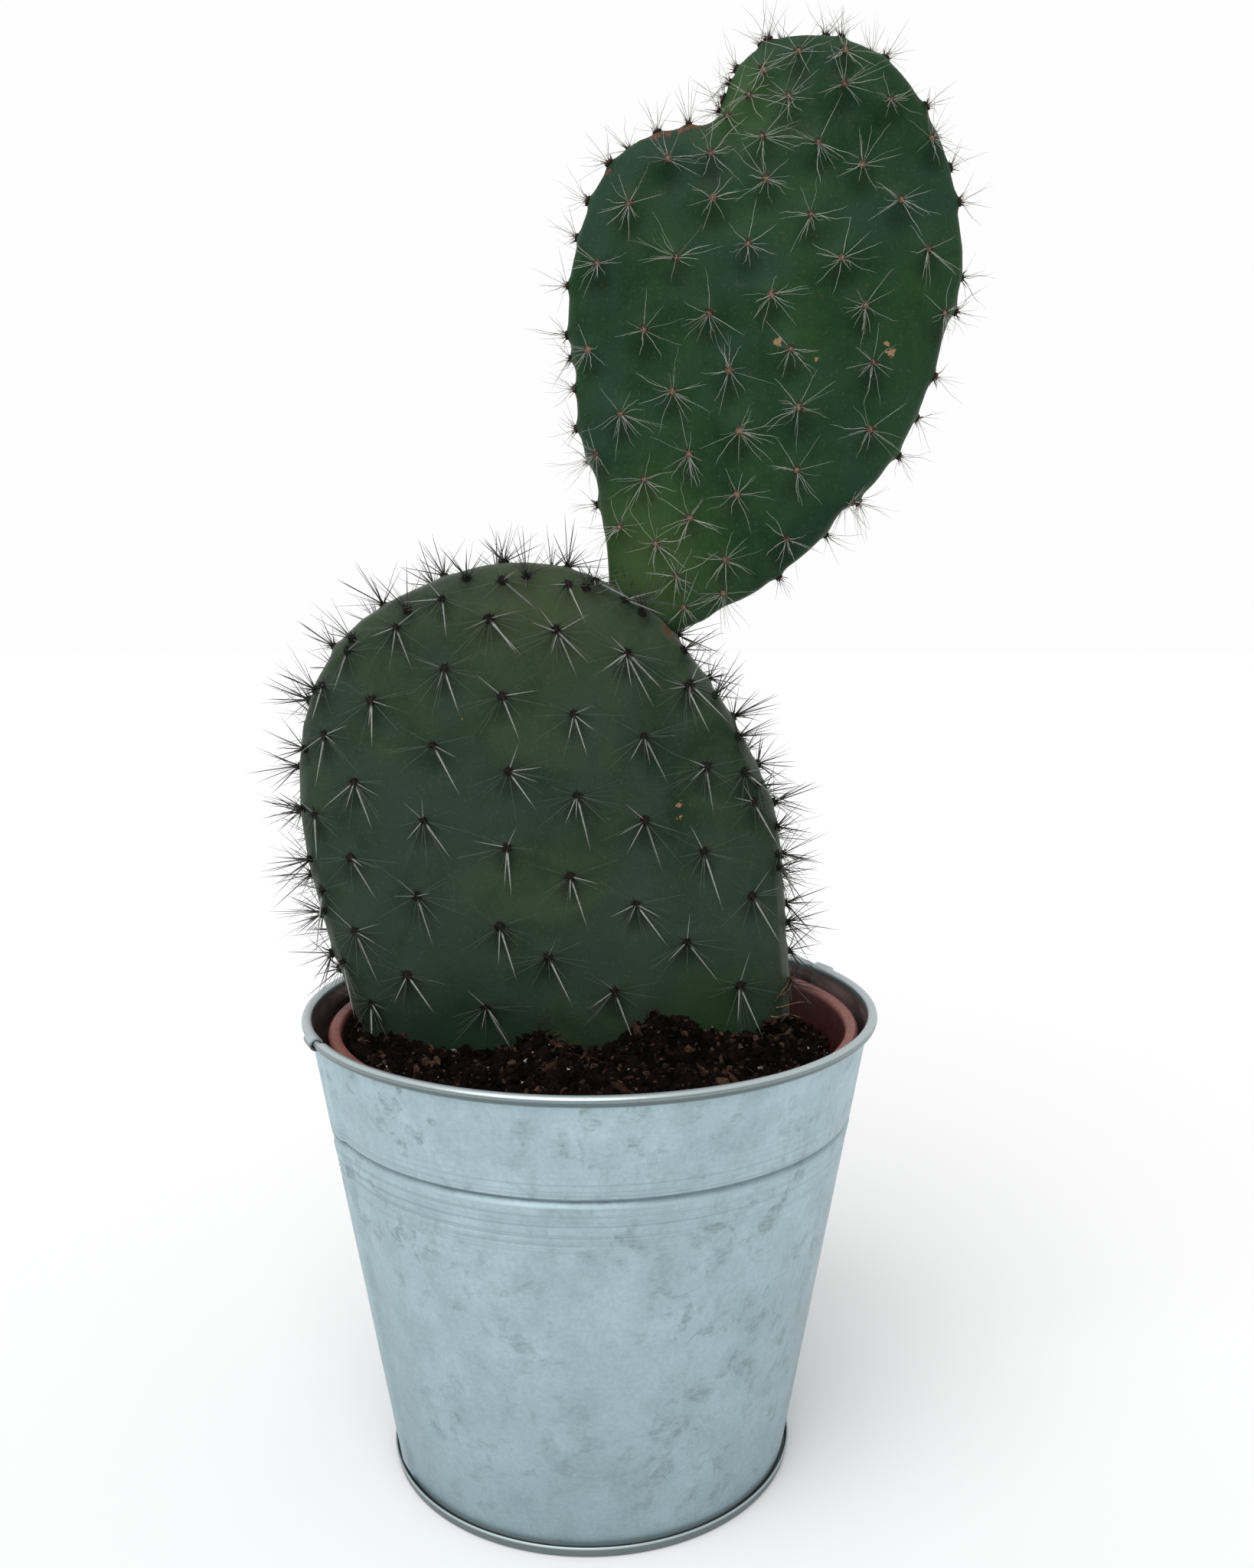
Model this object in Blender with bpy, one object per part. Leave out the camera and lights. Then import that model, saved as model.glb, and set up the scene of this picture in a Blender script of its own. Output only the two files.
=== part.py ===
"""A paddle cactus of two pads, rooted in a plastic nursery pot that stands in a small galvanised bucket.

Everything is modelled about the bucket's axis, with +Z up and the pads' front face looking along -Y.
An empty then carries the whole plant sideways, so that the origin lies under the middle of its box.
"""

import math
import random

import bmesh
import bpy
from mathutils import Vector
from mathutils.bvhtree import BVHTree

# Fits, in metres as everywhere below.
GAP = 0.0003

# Bucket: two half sheets lapped at two seams, a rolled rim and a floor crimped round their foot.
BUCKET_HEIGHT = 0.1143
BUCKET_FOOT_RADIUS = 0.0487
BUCKET_RIM_RADIUS = 0.0703
SHEET = 0.0005
BEAD_RADIUS = 0.0012
BEAD_STEPS = 6
GROOVE_BELOW_RIM = 0.0253
GROOVE_WIDTH = 0.0024
GROOVE_DEPTH = 0.0009
SEAM_ANGLE = math.radians(-64)
LAP_ANGLE = math.radians(5)
JOGGLE_ANGLE = math.radians(1.2)
SHEET_STEPS = 22
FOOT_RING_HEIGHT = 0.0024
FOOT_RING_CLEARANCE = 0.0008
FLOOR_RECESS = 0.003
TURN_STEPS = 60

# Nursery pot, which stands on the bucket's floor a little off its axis.
POT_BELOW_RIM = 0.0043
POT_RIM_CLEARANCE = 0.0024
POT_FOOT_CLEARANCE = 0.0027
POT_RIM_WIDTH = 0.0030
POT_SKIRT = 0.009
POT_WALL = 0.0012
POT_SHIFT = Vector((0.0008, 0.0, 0.0))
POT_STEPS = 48
DRAIN_RADIUS = 0.004
DRAIN_EDGE = 0.0075
DRAIN_COUNT = 8

# Soil.
SOIL_BELOW_POT_RIM = 0.0065
SOIL_HEAP = 0.004
SOIL_HEAP_AT = Vector((0.016, -0.024))
SOIL_HEAP_SPREAD = 0.0122
SOIL_WAVE, SOIL_RIPPLE = 0.0009, 0.0006
SOIL_FALL = Vector((0.030, 0.035))
SOIL_SHOULDER = 0.012
SOIL_RINGS = 7

# Heights on the plant are taken from the soil's level.
# Lower pad: outline in its own plane as (across, up), from the buried base round by the left.
LOWER_OUTLINE = (
    (-0.0470, -0.0155), (-0.0568, 0.0005), (-0.0606, 0.0115), (-0.0667, 0.0305), (-0.0715, 0.0565),
    (-0.0702, 0.0790), (-0.0620, 0.0980), (-0.0464, 0.1101), (-0.0250, 0.1177), (-0.0080, 0.1175),
    (0.0060, 0.1125), (0.0180, 0.1045), (0.0275, 0.0925), (0.0350, 0.0810), (0.0415, 0.0690),
    (0.0469, 0.0547), (0.0492, 0.0285), (0.0502, 0.0005), (0.0450, -0.0165), (0.0280, -0.0275),
    (0.0060, -0.0315), (-0.0160, -0.0305), (-0.0360, -0.0255),
)
LOWER_CENTRE = (-0.009, 0.0445)
LOWER_PLANE = 0.006
LOWER_HALF_DEPTH = 0.012
LOWER_BASE_SWELL = 0.005
LOWER_SWELL_FROM, LOWER_SWELL_TO = 0.0565, 0.0065

# Upper pad: outline from its joint round by the left lobe, the notch and the right lobe.
UPPER_OUTLINE = (
    (0.006, 0.1125), (0.0036, 0.1225), (0.0018, 0.1345), (-0.0023, 0.1485), (-0.0038, 0.1625),
    (-0.0050, 0.1745), (-0.0042, 0.1865), (-0.0012, 0.1985), (0.0040, 0.2090), (0.0120, 0.2160),
    (0.0220, 0.2190), (0.0292, 0.2203), (0.0322, 0.2257), (0.0350, 0.2327), (0.0415, 0.2381),
    (0.0506, 0.2398), (0.0596, 0.2389), (0.0683, 0.2356), (0.0755, 0.2290), (0.0842, 0.2145),
    (0.0880, 0.1995), (0.0894, 0.1860), (0.0862, 0.1730), (0.0813, 0.1585), (0.0748, 0.1440),
    (0.0640, 0.1315), (0.0505, 0.1180), (0.0345, 0.1070), (0.0240, 0.1015), (0.0140, 0.1015),
)
UPPER_CENTRE = (0.043, 0.1715)
UPPER_PLANE = 0.0065
UPPER_HALF_DEPTH = 0.0078
UPPER_NECK_THINNING = 0.0014
UPPER_FULL_FROM, UPPER_NECK_AT = 0.1415, 0.1065
EDGE_POWER = 3.4
EDGE_STEPS = 6

# Roots: a crown under the lower pad, and tapering roots that spread from it.
ROOT_CROWN_SIZE = Vector((0.013, 0.010, 0.009))
ROOT_CROWN_DEPTH = 0.0345
ROOT_RADIUS = 0.0030
ROOT_TIP_RADIUS = 0.0007
ROOT_SPREAD_CLEARANCE = 0.011
ROOT_TIP_CLEARANCE = 0.009
ROOT_COUNT = 7

# Areoles on the lower pad's face: each column is (top, belly, foot, count), as (across, up) points.
LOWER_COLUMNS = (
    ((-0.0634, 0.0770), (-0.0664, 0.0485), (-0.0608, 0.0213), 4),
    ((-0.0518, 0.0851), (-0.0582, 0.0476), (-0.0531, 0.0118), 5),
    ((-0.0349, 0.0927), (-0.0398, 0.0565), (-0.0441, 0.0195), 5),
    ((-0.0242, 0.1044), (-0.0195, 0.0590), (-0.0256, 0.0117), 6),
    ((-0.0084, 0.1020), (-0.0029, 0.0625), (-0.0104, 0.0235), 5),
    ((0.0087, 0.0963), (0.0135, 0.0565), (0.0058, 0.0156), 5),
    ((0.0235, 0.0885), (0.0280, 0.0590), (0.0234, 0.0267), 4),
    ((0.0399, 0.0602), (0.0393, 0.0378), (0.0358, 0.0158), 3),
)
# The upper pad's rim tufts: directions from its centre, as degrees anticlockwise from +X.
UPPER_RIM_TUFTS = tuple(range(-30, 151, 15))
AREOLE_RADIUS = 0.0014
AREOLE_FLATNESS = 0.6
CENTRAL_SPINE = 0.0125
CENTRAL_DROOP = 0.5
RIM_SPINE = 0.0065
SPINE_INSET = 0.00028
SPINE_SHORTENING = 0.12
LEAST_LEAN_OUT = 0.45


def finish(name, colour, roughness, metallic=0.0):
    material = bpy.data.materials.new(name)
    material.use_nodes = True
    shader = material.node_tree.nodes["Principled BSDF"]
    shader.inputs["Base Color"].default_value = (*colour, 1.0)
    shader.inputs["Roughness"].default_value = roughness
    shader.inputs["Metallic"].default_value = metallic
    return material


def new_object(name, mesh, material, smooth_below=math.radians(35)):
    """Turns a bmesh into an object, with its faces outwards and its round parts smooth."""
    bmesh.ops.recalc_face_normals(mesh, faces=mesh.faces)
    data = bpy.data.meshes.new(name)
    mesh.to_mesh(data)
    mesh.free()
    data.materials.append(material)
    data.shade_smooth()
    data.set_sharp_from_angle(angle=smooth_below)
    thing = bpy.data.objects.new(name, data)
    bpy.context.scene.collection.objects.link(thing)
    return thing


def make_cutter(thing):
    thing.hide_render = True
    thing.display_type = "WIRE"
    return thing


def cut(thing, cutter):
    """Takes the cutter's shape out of the thing."""
    modifier = thing.modifiers.new("cut_" + cutter.name, "BOOLEAN")
    modifier.operation = "DIFFERENCE"
    modifier.solver = "EXACT"
    modifier.object = cutter


def skin(loops, ring=False):
    """A solid through closed loops of points, each joined to the next and the ends filled."""
    mesh = bmesh.new()
    rows = [[mesh.verts.new(point) for point in loop] for loop in loops]
    pairs = list(zip(rows, rows[1:]))
    if ring:
        pairs.append((rows[-1], rows[0]))
    else:
        mesh.faces.new(rows[0])
        mesh.faces.new(rows[-1])
    for near, far in pairs:
        for i in range(len(near)):
            j = (i + 1) % len(near)
            mesh.faces.new((near[i], near[j], far[j], far[i]))
    return mesh


def turned(profile, steps, shift=Vector((0, 0, 0))):
    """A solid turned about +Z from (radius, height) points. A profile that starts on the axis ends on it."""
    mesh = bmesh.new()
    points = [mesh.verts.new((radius, 0, height)) for radius, height in profile]
    chain = points if profile[0][0] == 0 else points + points[:1]
    edges = [mesh.edges.new(pair) for pair in zip(chain, chain[1:])]
    bmesh.ops.spin(mesh, geom=points + edges, axis=(0, 0, 1), angle=math.tau, steps=steps)
    bmesh.ops.remove_doubles(mesh, verts=mesh.verts, dist=1e-6)
    bmesh.ops.translate(mesh, verts=mesh.verts, vec=shift)
    return mesh


def around(radius, angle, height):
    """A point on a circle about the bucket's axis. Angle 0 faces the front, and it grows to the right."""
    return Vector((radius * math.sin(angle), -radius * math.cos(angle), height))


# Bucket


def bead_centre():
    """The middle of the rim's curl, as (radius, height)."""
    return BUCKET_RIM_RADIUS - BEAD_RADIUS, BUCKET_HEIGHT - BEAD_RADIUS


def bucket_outside(height):
    """The plain wall's outer radius: a straight taper from the foot up to the rolled rim."""
    rim, top = bead_centre()
    wall_top = rim - BEAD_RADIUS + SHEET
    return BUCKET_FOOT_RADIUS + (wall_top - BUCKET_FOOT_RADIUS) * height / top


def sheet_section(shift, swell, foot):
    """The half sheet's closed section, with its wall moved out by shift and its curl's middle by swell."""
    rim, top = bead_centre()
    groove = BUCKET_HEIGHT - GROOVE_BELOW_RIM
    low, high = groove - GROOVE_WIDTH / 2, groove + GROOVE_WIDTH / 2
    dip = GROOVE_WIDTH / 4
    stations = [(foot, 0.0), (0.012, 0.0), (low, 0.0), (low + dip, GROOVE_DEPTH)]
    stations += [(high - dip, GROOVE_DEPTH), (high, 0.0)]
    outside = [(bucket_outside(z) - depth + shift, z) for z, depth in stations]
    inside = [(radius - SHEET, z) for radius, z in outside]
    middle = rim + swell
    curl_outer = BEAD_RADIUS + swell - shift
    curl_inner = curl_outer - SHEET
    clear_of_wall = bucket_outside(top) + 2 * swell + GAP
    curl_end = -math.acos((clear_of_wall - middle) / curl_outer)
    for step in range(BEAD_STEPS + 1):
        angle = math.pi + (curl_end - math.pi) * step / BEAD_STEPS
        inside.append((middle + curl_outer * math.cos(angle), top + curl_outer * math.sin(angle)))
        outside.append((middle + curl_inner * math.cos(angle), top + curl_inner * math.sin(angle)))
    return inside + outside[::-1]


def half_sheet(name, seam, material):
    """One half of the bucket's wall, whose first edge laps over the other half at this seam."""
    wall_foot = SHEET + GAP
    lap_foot = FOOT_RING_HEIGHT + 2 * GAP
    lap_shift = SHEET + GAP
    swell = lap_shift / 2
    start = seam - LAP_ANGLE / 2
    lap_end = start + LAP_ANGLE
    plain = lap_end + JOGGLE_ANGLE
    end = seam + math.pi + LAP_ANGLE / 2 - JOGGLE_ANGLE / 2
    lapped = [start, (start + lap_end) / 2, lap_end]
    columns = [(angle, lap_shift, swell, lap_foot) for angle in lapped]
    columns.append((plain, 0.0, 0.0, lap_foot))
    first = plain + JOGGLE_ANGLE / 2
    far_lap = start + math.pi
    last = far_lap - JOGGLE_ANGLE
    for step in range(SHEET_STEPS + 1):
        columns.append((first + (last - first) * step / SHEET_STEPS, 0.0, 0.0, wall_foot))
    far_angles = (far_lap, (far_lap + end) / 2, end)
    columns += [(angle, 0.0, swell, wall_foot) for angle in far_angles]
    loops = [
        [around(radius, angle, z) for radius, z in sheet_section(shift, swell, foot)]
        for angle, shift, swell, foot in columns
    ]
    return new_object(name, skin(loops), material)


def bucket_floor(name, material):
    """The floor disc, whose edge turns down and back up round the foot of the wall."""
    leg = bucket_outside(0) - SHEET - GAP
    ring = bucket_outside(0) + FOOT_RING_CLEARANCE + SHEET
    lean = bucket_outside(FOOT_RING_HEIGHT) - bucket_outside(0)
    profile = [
        (0, FLOOR_RECESS),
        (leg - SHEET, FLOOR_RECESS),
        (leg - SHEET, 0),
        (ring, 0),
        (ring + lean, FOOT_RING_HEIGHT),
        (ring + lean - SHEET, FOOT_RING_HEIGHT),
        (ring - SHEET, SHEET),
        (leg, SHEET),
        (leg, FLOOR_RECESS + SHEET),
        (0, FLOOR_RECESS + SHEET),
    ]
    return new_object(name, turned(profile, TURN_STEPS), material)


# Nursery pot and soil


def pot_floor():
    return FLOOR_RECESS + SHEET + GAP


def pot_top():
    return BUCKET_HEIGHT - POT_BELOW_RIM


def rim_outside(height):
    """The outer radius of the pot's rim and skirt, which follow the bucket's wall."""
    return bucket_outside(height) - SHEET - POT_RIM_CLEARANCE


def pot_inside(height):
    """The pot's inner radius: a straight taper up to the inner edge of its rim."""
    share = (height - pot_floor()) / (pot_top() - pot_floor())
    foot = bucket_outside(pot_floor()) - SHEET - POT_FOOT_CLEARANCE - POT_WALL
    return foot + (rim_outside(pot_top()) - POT_RIM_WIDTH - foot) * share


def soil_level():
    return pot_top() - SOIL_BELOW_POT_RIM


def nursery_pot(name, material):
    low, high = pot_floor(), pot_top()
    under, skirt = high - POT_WALL, high - POT_SKIRT
    profile = [
        (0, low),
        (pot_inside(low) + POT_WALL, low),
        (pot_inside(under) + POT_WALL, under),
        (rim_outside(under) - POT_WALL, under),
        (rim_outside(skirt) - POT_WALL, skirt),
        (rim_outside(skirt), skirt),
        (rim_outside(high), high - POT_WALL / 2),
        (rim_outside(high) - POT_WALL / 2, high),
        (pot_inside(high) + POT_WALL / 2, high),
        (pot_inside(under), under),
        (pot_inside(low + POT_WALL), low + POT_WALL),
        (0, low + POT_WALL),
    ]
    pot = new_object(name, turned(profile, POT_STEPS, POT_SHIFT), material)
    holes = bmesh.new()
    ring = pot_inside(low) - DRAIN_EDGE - DRAIN_RADIUS / 2
    for i in range(DRAIN_COUNT):
        made = bmesh.ops.create_cone(
            holes, cap_ends=True, segments=12, radius1=DRAIN_RADIUS, radius2=DRAIN_RADIUS, depth=4 * POT_WALL
        )
        place = around(ring, math.tau * i / DRAIN_COUNT, low + POT_WALL / 2) + POT_SHIFT
        bmesh.ops.translate(holes, verts=made["verts"], vec=place)
    cut(pot, make_cutter(new_object("drain_cutter", holes, material)))
    return pot


def soil_top(x, y):
    """The soil's height: a low heap against the pad's front, a few waves, and a dip at the back right."""
    place = Vector((x, y))
    far = (place - SOIL_HEAP_AT).length / SOIL_HEAP_SPREAD
    heap = SOIL_HEAP * math.exp(-far * far / 2)
    waves = SOIL_WAVE * math.sin(170 * x + 1.3) * math.cos(140 * y)
    waves += SOIL_RIPPLE * math.sin(310 * y + 90 * x)
    return soil_level() + heap + waves - place.dot(SOIL_FALL)


def soil(name, material):
    """One block that fills the pot, with an uneven top."""
    low = pot_floor() + POT_WALL + GAP
    columns = POT_STEPS // 2
    angles = [math.tau * i / columns for i in range(columns)]
    loops = [[around(0.004, a, low) for a in angles]]
    for height in (low, soil_level() - SOIL_SHOULDER):
        loops.append([around(pot_inside(height) - 2 * GAP, a, height) for a in angles])
    for ring in range(SOIL_RINGS, 0, -1):
        loop = []
        for angle in angles:
            share = ring / SOIL_RINGS
            near = around(pot_inside(soil_level()) * share, angle, 0)
            height = soil_top(near.x, near.y)
            loop.append(around((pot_inside(height) - 3 * GAP) * share, angle, height))
        loops.append(loop)
    loops = [[point + POT_SHIFT for point in loop] for loop in loops]
    return new_object(name, skin(loops), material)


# Pads and roots


def smooth_outline(points, grow):
    """A closed Catmull-Rom curve through the points, two steps to a span, moved outwards by grow."""
    count = len(points)
    curve = []
    for i in range(count):
        a, b, c, d = (Vector(points[(i + k) % count]) for k in (-1, 0, 1, 2))
        for t in (0.0, 0.5):
            bent = (2 * a - 5 * b + 4 * c - d) * t * t + (3 * b - a - 3 * c + d) * t * t * t
            curve.append(b + ((c - a) * t + bent) / 2)
    moved = []
    for i, point in enumerate(curve):
        along = (curve[(i + 1) % len(curve)] - curve[i - 1]).normalized()
        moved.append(point + Vector((-along.y, along.x)) * grow)
    return moved


def ease(share):
    share = min(1.0, max(0.0, share))
    return share * share * (3 - 2 * share)


def lower_half_depth(up):
    share = (LOWER_SWELL_FROM - up) / (LOWER_SWELL_FROM - LOWER_SWELL_TO)
    return LOWER_HALF_DEPTH + LOWER_BASE_SWELL * ease(share)


def upper_half_depth(up):
    share = (UPPER_FULL_FROM - up) / (UPPER_FULL_FROM - UPPER_NECK_AT)
    return UPPER_HALF_DEPTH - UPPER_NECK_THINNING * ease(share)


def pad_mesh(points, centre, plane, half_depth, grow=0.0):
    """A pad: its outline shrinks towards its centre from the rim to either face, as a rounded pillow."""
    outline = smooth_outline(points, grow)
    middle = Vector(centre)
    shares = [1 - 0.82 * (1 - math.cos(math.pi / 2 * i / EDGE_STEPS)) ** 1.4 for i in range(EDGE_STEPS + 1)]
    loops = []
    for side, steps in ((-1, shares[::-1]), (1, shares[1:])):
        for share in steps:
            swell = side * (1 - share**EDGE_POWER) ** (1 / EDGE_POWER)
            loop = []
            for point in outline:
                spot = middle + (point - middle) * share
                depth = swell * (half_depth(spot.y) + grow)
                loop.append(Vector((spot.x, plane + depth, soil_level() + spot.y)))
            loops.append(loop)
    return skin(loops)


def root_path(index):
    """Points down one root, from the crown outwards and down to its tip."""
    turn = math.tau * (index + 0.35 * math.sin(3.0 * index)) / ROOT_COUNT
    crown = soil_level() - ROOT_CROWN_DEPTH
    lowest = pot_floor() + POT_WALL + ROOT_TIP_CLEARANCE
    spread = pot_inside(lowest) - ROOT_SPREAD_CLEARANCE
    points = []
    for step in range(6):
        t = step / 5
        reach = spread * t ** (0.7 + 0.1 * (index % 3))
        height = crown + (lowest + 0.006 * (index % 4) - crown) * t
        wander = 0.0025 * math.sin(7 * t + index)
        points.append(around(reach, turn + 0.3 * t, height) + Vector((wander, LOWER_PLANE * (1 - t), 0)))
    return points


def tapered_tube(path, start, end, sides=7):
    loops = []
    for i, point in enumerate(path):
        along = path[min(i + 1, len(path) - 1)] - path[max(i - 1, 0)]
        turn = along.to_track_quat("Z", "Y")
        radius = start + (end - start) * i / (len(path) - 1)
        spokes = (math.tau * k / sides for k in range(sides))
        loops.append([point + turn @ Vector((radius * math.cos(a), radius * math.sin(a), 0)) for a in spokes])
    return skin(loops)


def root_clump(name, grow, material):
    """The crown with every root joined to it."""
    crown = bmesh.new()
    made = bmesh.ops.create_uvsphere(crown, u_segments=12, v_segments=8, radius=1.0)
    size = ROOT_CROWN_SIZE + Vector((grow, grow, grow))
    bmesh.ops.scale(crown, verts=made["verts"], vec=size)
    bmesh.ops.translate(crown, verts=made["verts"], vec=(0, LOWER_PLANE, soil_level() - ROOT_CROWN_DEPTH))
    clump = new_object(name, crown, material)
    for index in range(ROOT_COUNT):
        path = root_path(index)
        path[-1] += (path[-1] - path[-2]).normalized() * grow
        tube = tapered_tube(path, ROOT_RADIUS + grow, ROOT_TIP_RADIUS + grow)
        arm = make_cutter(new_object(f"{name}_arm_{index + 1}", tube, material))
        join = clump.modifiers.new(arm.name, "BOOLEAN")
        join.operation = "UNION"
        join.solver = "EXACT"
        join.object = arm
    return clump


# Spines


def through(top, belly, foot, count):
    """Evenly spaced points along the arc that passes through a top, a belly and a foot."""
    for i in range(count):
        t = i / (count - 1)
        shares = ((1 - t) * (1 - 2 * t), 4 * t * (1 - t), t * (2 * t - 1))
        yield sum((Vector(p) * s for p, s in zip((top, belly, foot), shares)), Vector((0, 0)))


def surface_of(pad):
    """The pad's surface as it is built, for finding where a ray meets it."""
    return BVHTree.FromObject(pad, bpy.context.evaluated_depsgraph_get())


def spine_cluster(name, spot, normal, count, reach, droop, draw, material):
    """A felty cushion on the pad's skin, with spines standing out of it, the longest ones first."""
    mesh = bmesh.new()
    bmesh.ops.create_icosphere(mesh, subdivisions=1, radius=AREOLE_RADIUS)
    bmesh.ops.scale(mesh, verts=mesh.verts, vec=(1, 1, AREOLE_FLATNESS))
    turn = normal.to_track_quat("Z", "Y").to_matrix()
    bmesh.ops.rotate(mesh, verts=mesh.verts, cent=(0, 0, 0), matrix=turn)
    lift = normal * (AREOLE_FLATNESS * AREOLE_RADIUS + 2 * GAP)
    bmesh.ops.translate(mesh, verts=mesh.verts, vec=spot + lift)
    mesh.normal_update()
    open_faces = [face for face in mesh.faces if face.normal.dot(normal) > 0.15]
    draw.shuffle(open_faces)
    for rank, face in enumerate(open_faces[:count]):
        heading = face.normal + Vector((0, 0, -droop)) + normal * 0.25
        heading += normal * max(0.0, LEAST_LEAN_OUT - heading.normalized().dot(normal))
        bmesh.ops.inset_individual(mesh, faces=[face], thickness=SPINE_INSET)
        tip = bmesh.ops.poke(mesh, faces=[face])["verts"][0]
        length = reach * (1 - SPINE_SHORTENING * rank) * draw.uniform(0.85, 1.0)
        tip.co += heading.normalized() * length
    return new_object(name, mesh, material)


def lower_spines(pad, material):
    draw = random.Random(11)
    skin_at = surface_of(pad)
    number = 0
    for column in LOWER_COLUMNS:
        for place in through(*column):
            front = Vector((place.x, -0.1, soil_level() + place.y))
            spot, normal, _, _ = skin_at.ray_cast(front, Vector((0, 1, 0)))
            number += 1
            name = f"lower_spines_{number:02d}"
            spine_cluster(name, spot, normal, 4, CENTRAL_SPINE, CENTRAL_DROOP, draw, material)


def upper_rim_spines(pad, material):
    draw = random.Random(23)
    skin_at = surface_of(pad)
    for number, degrees in enumerate(UPPER_RIM_TUFTS, 1):
        outwards = Vector((math.cos(math.radians(degrees)), 0, math.sin(math.radians(degrees))))
        far = Vector((UPPER_CENTRE[0], UPPER_PLANE, soil_level() + UPPER_CENTRE[1])) + outwards * 0.2
        spot, normal, _, _ = skin_at.ray_cast(far, -outwards)
        name = f"upper_rim_spines_{number:02d}"
        spine_cluster(name, spot, normal, 3, RIM_SPINE, 0.0, draw, material)


# Assembly

for leftover in list(bpy.data.objects):
    bpy.data.objects.remove(leftover)

zinc = finish("galvanised_zinc", (0.42, 0.50, 0.54), 0.42, 1.0)
terracotta_plastic = finish("terracotta_plastic", (0.50, 0.16, 0.10), 0.55)
potting_mix = finish("potting_mix", (0.030, 0.020, 0.014), 0.95)
root_bark = finish("root_bark", (0.30, 0.22, 0.13), 0.85)
old_skin = finish("old_pad_skin", (0.055, 0.110, 0.075), 0.50)
young_skin = finish("young_pad_skin", (0.035, 0.120, 0.045), 0.45)
stout_spine = finish("stout_spine", (0.55, 0.53, 0.48), 0.50)
young_spine = finish("young_spine", (0.30, 0.20, 0.12), 0.55)

half_sheet("bucket_wall_front", SEAM_ANGLE, zinc)
half_sheet("bucket_wall_back", SEAM_ANGLE + math.pi, zinc)
bucket_floor("bucket_base", zinc)
nursery_pot("nursery_pot", terracotta_plastic)
potting_soil = soil("potting_soil", potting_mix)

lower_shape = (LOWER_OUTLINE, LOWER_CENTRE, LOWER_PLANE, lower_half_depth)
upper_shape = (UPPER_OUTLINE, UPPER_CENTRE, UPPER_PLANE, upper_half_depth)
lower_pad = new_object("lower_pad", pad_mesh(*lower_shape), old_skin)
upper_pad = new_object("upper_pad", pad_mesh(*upper_shape), young_skin)
roots = root_clump("roots", 0.0, root_bark)

pad_cutter = make_cutter(new_object("lower_pad_cutter", pad_mesh(*lower_shape, grow=GAP), old_skin))
root_cutter = make_cutter(root_clump("root_cutter", GAP, root_bark))
cut(potting_soil, pad_cutter)
cut(potting_soil, root_cutter)
cut(roots, pad_cutter)
cut(upper_pad, pad_cutter)

lower_spines(lower_pad, stout_spine)
upper_rim_spines(upper_pad, young_spine)

bpy.context.view_layer.update()
pieces = list(bpy.context.scene.collection.objects)
reach = [corner[0] for piece in pieces if not piece.hide_render for corner in piece.bound_box]
whole = bpy.data.objects.new("potted_cactus", None)
bpy.context.scene.collection.objects.link(whole)
whole.location.x = -(min(reach) + max(reach)) / 2
for piece in pieces:
    piece.parent = whole
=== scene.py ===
"""A paddle cactus with two spiny pads, in a plastic nursery pot that stands in a galvanised bucket."""

import math
import random

import bmesh
import bpy
import numpy as np
from mathutils import Matrix, Vector, noise
from mathutils.bvhtree import BVHTree


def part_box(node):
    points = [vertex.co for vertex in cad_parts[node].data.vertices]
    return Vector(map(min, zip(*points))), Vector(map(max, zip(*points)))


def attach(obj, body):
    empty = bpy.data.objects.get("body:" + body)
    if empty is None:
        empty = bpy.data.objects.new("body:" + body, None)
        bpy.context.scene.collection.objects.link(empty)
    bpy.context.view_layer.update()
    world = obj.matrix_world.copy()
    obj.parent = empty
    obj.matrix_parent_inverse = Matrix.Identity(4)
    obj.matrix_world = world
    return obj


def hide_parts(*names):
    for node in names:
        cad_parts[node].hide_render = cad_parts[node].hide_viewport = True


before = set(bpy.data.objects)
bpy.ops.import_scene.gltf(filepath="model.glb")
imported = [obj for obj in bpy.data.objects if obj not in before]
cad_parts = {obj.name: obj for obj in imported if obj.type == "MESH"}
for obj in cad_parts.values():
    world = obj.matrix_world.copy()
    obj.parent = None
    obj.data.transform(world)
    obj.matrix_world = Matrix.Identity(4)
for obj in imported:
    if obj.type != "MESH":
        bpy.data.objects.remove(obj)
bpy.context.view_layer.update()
bpy.ops.object.select_all(action="DESELECT")

# Stage. A pale floor under an even white sky, with one broad soft light from the upper left, and the
# camera a little above the rim of the bucket, about a third of a metre in front of it.

base_low, base_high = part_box("bucket_base")
axis = Vector(((base_low.x + base_high.x) / 2, (base_low.y + base_high.y) / 2, 0))

bpy.ops.mesh.primitive_plane_add(size=12, location=(0, 0, -0.0002))
floor = bpy.context.object
floor.name = "floor"
paint = bpy.data.materials.new("floor_paint")
paint.use_nodes = True
paint_shader = paint.node_tree.nodes["Principled BSDF"]
paint_shader.inputs["Base Color"].default_value = (0.90, 0.90, 0.90, 1)
paint_shader.inputs["Roughness"].default_value = 1.0
paint_shader.inputs["Specular IOR Level"].default_value = 0.0
floor.data.materials.append(paint)

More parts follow.
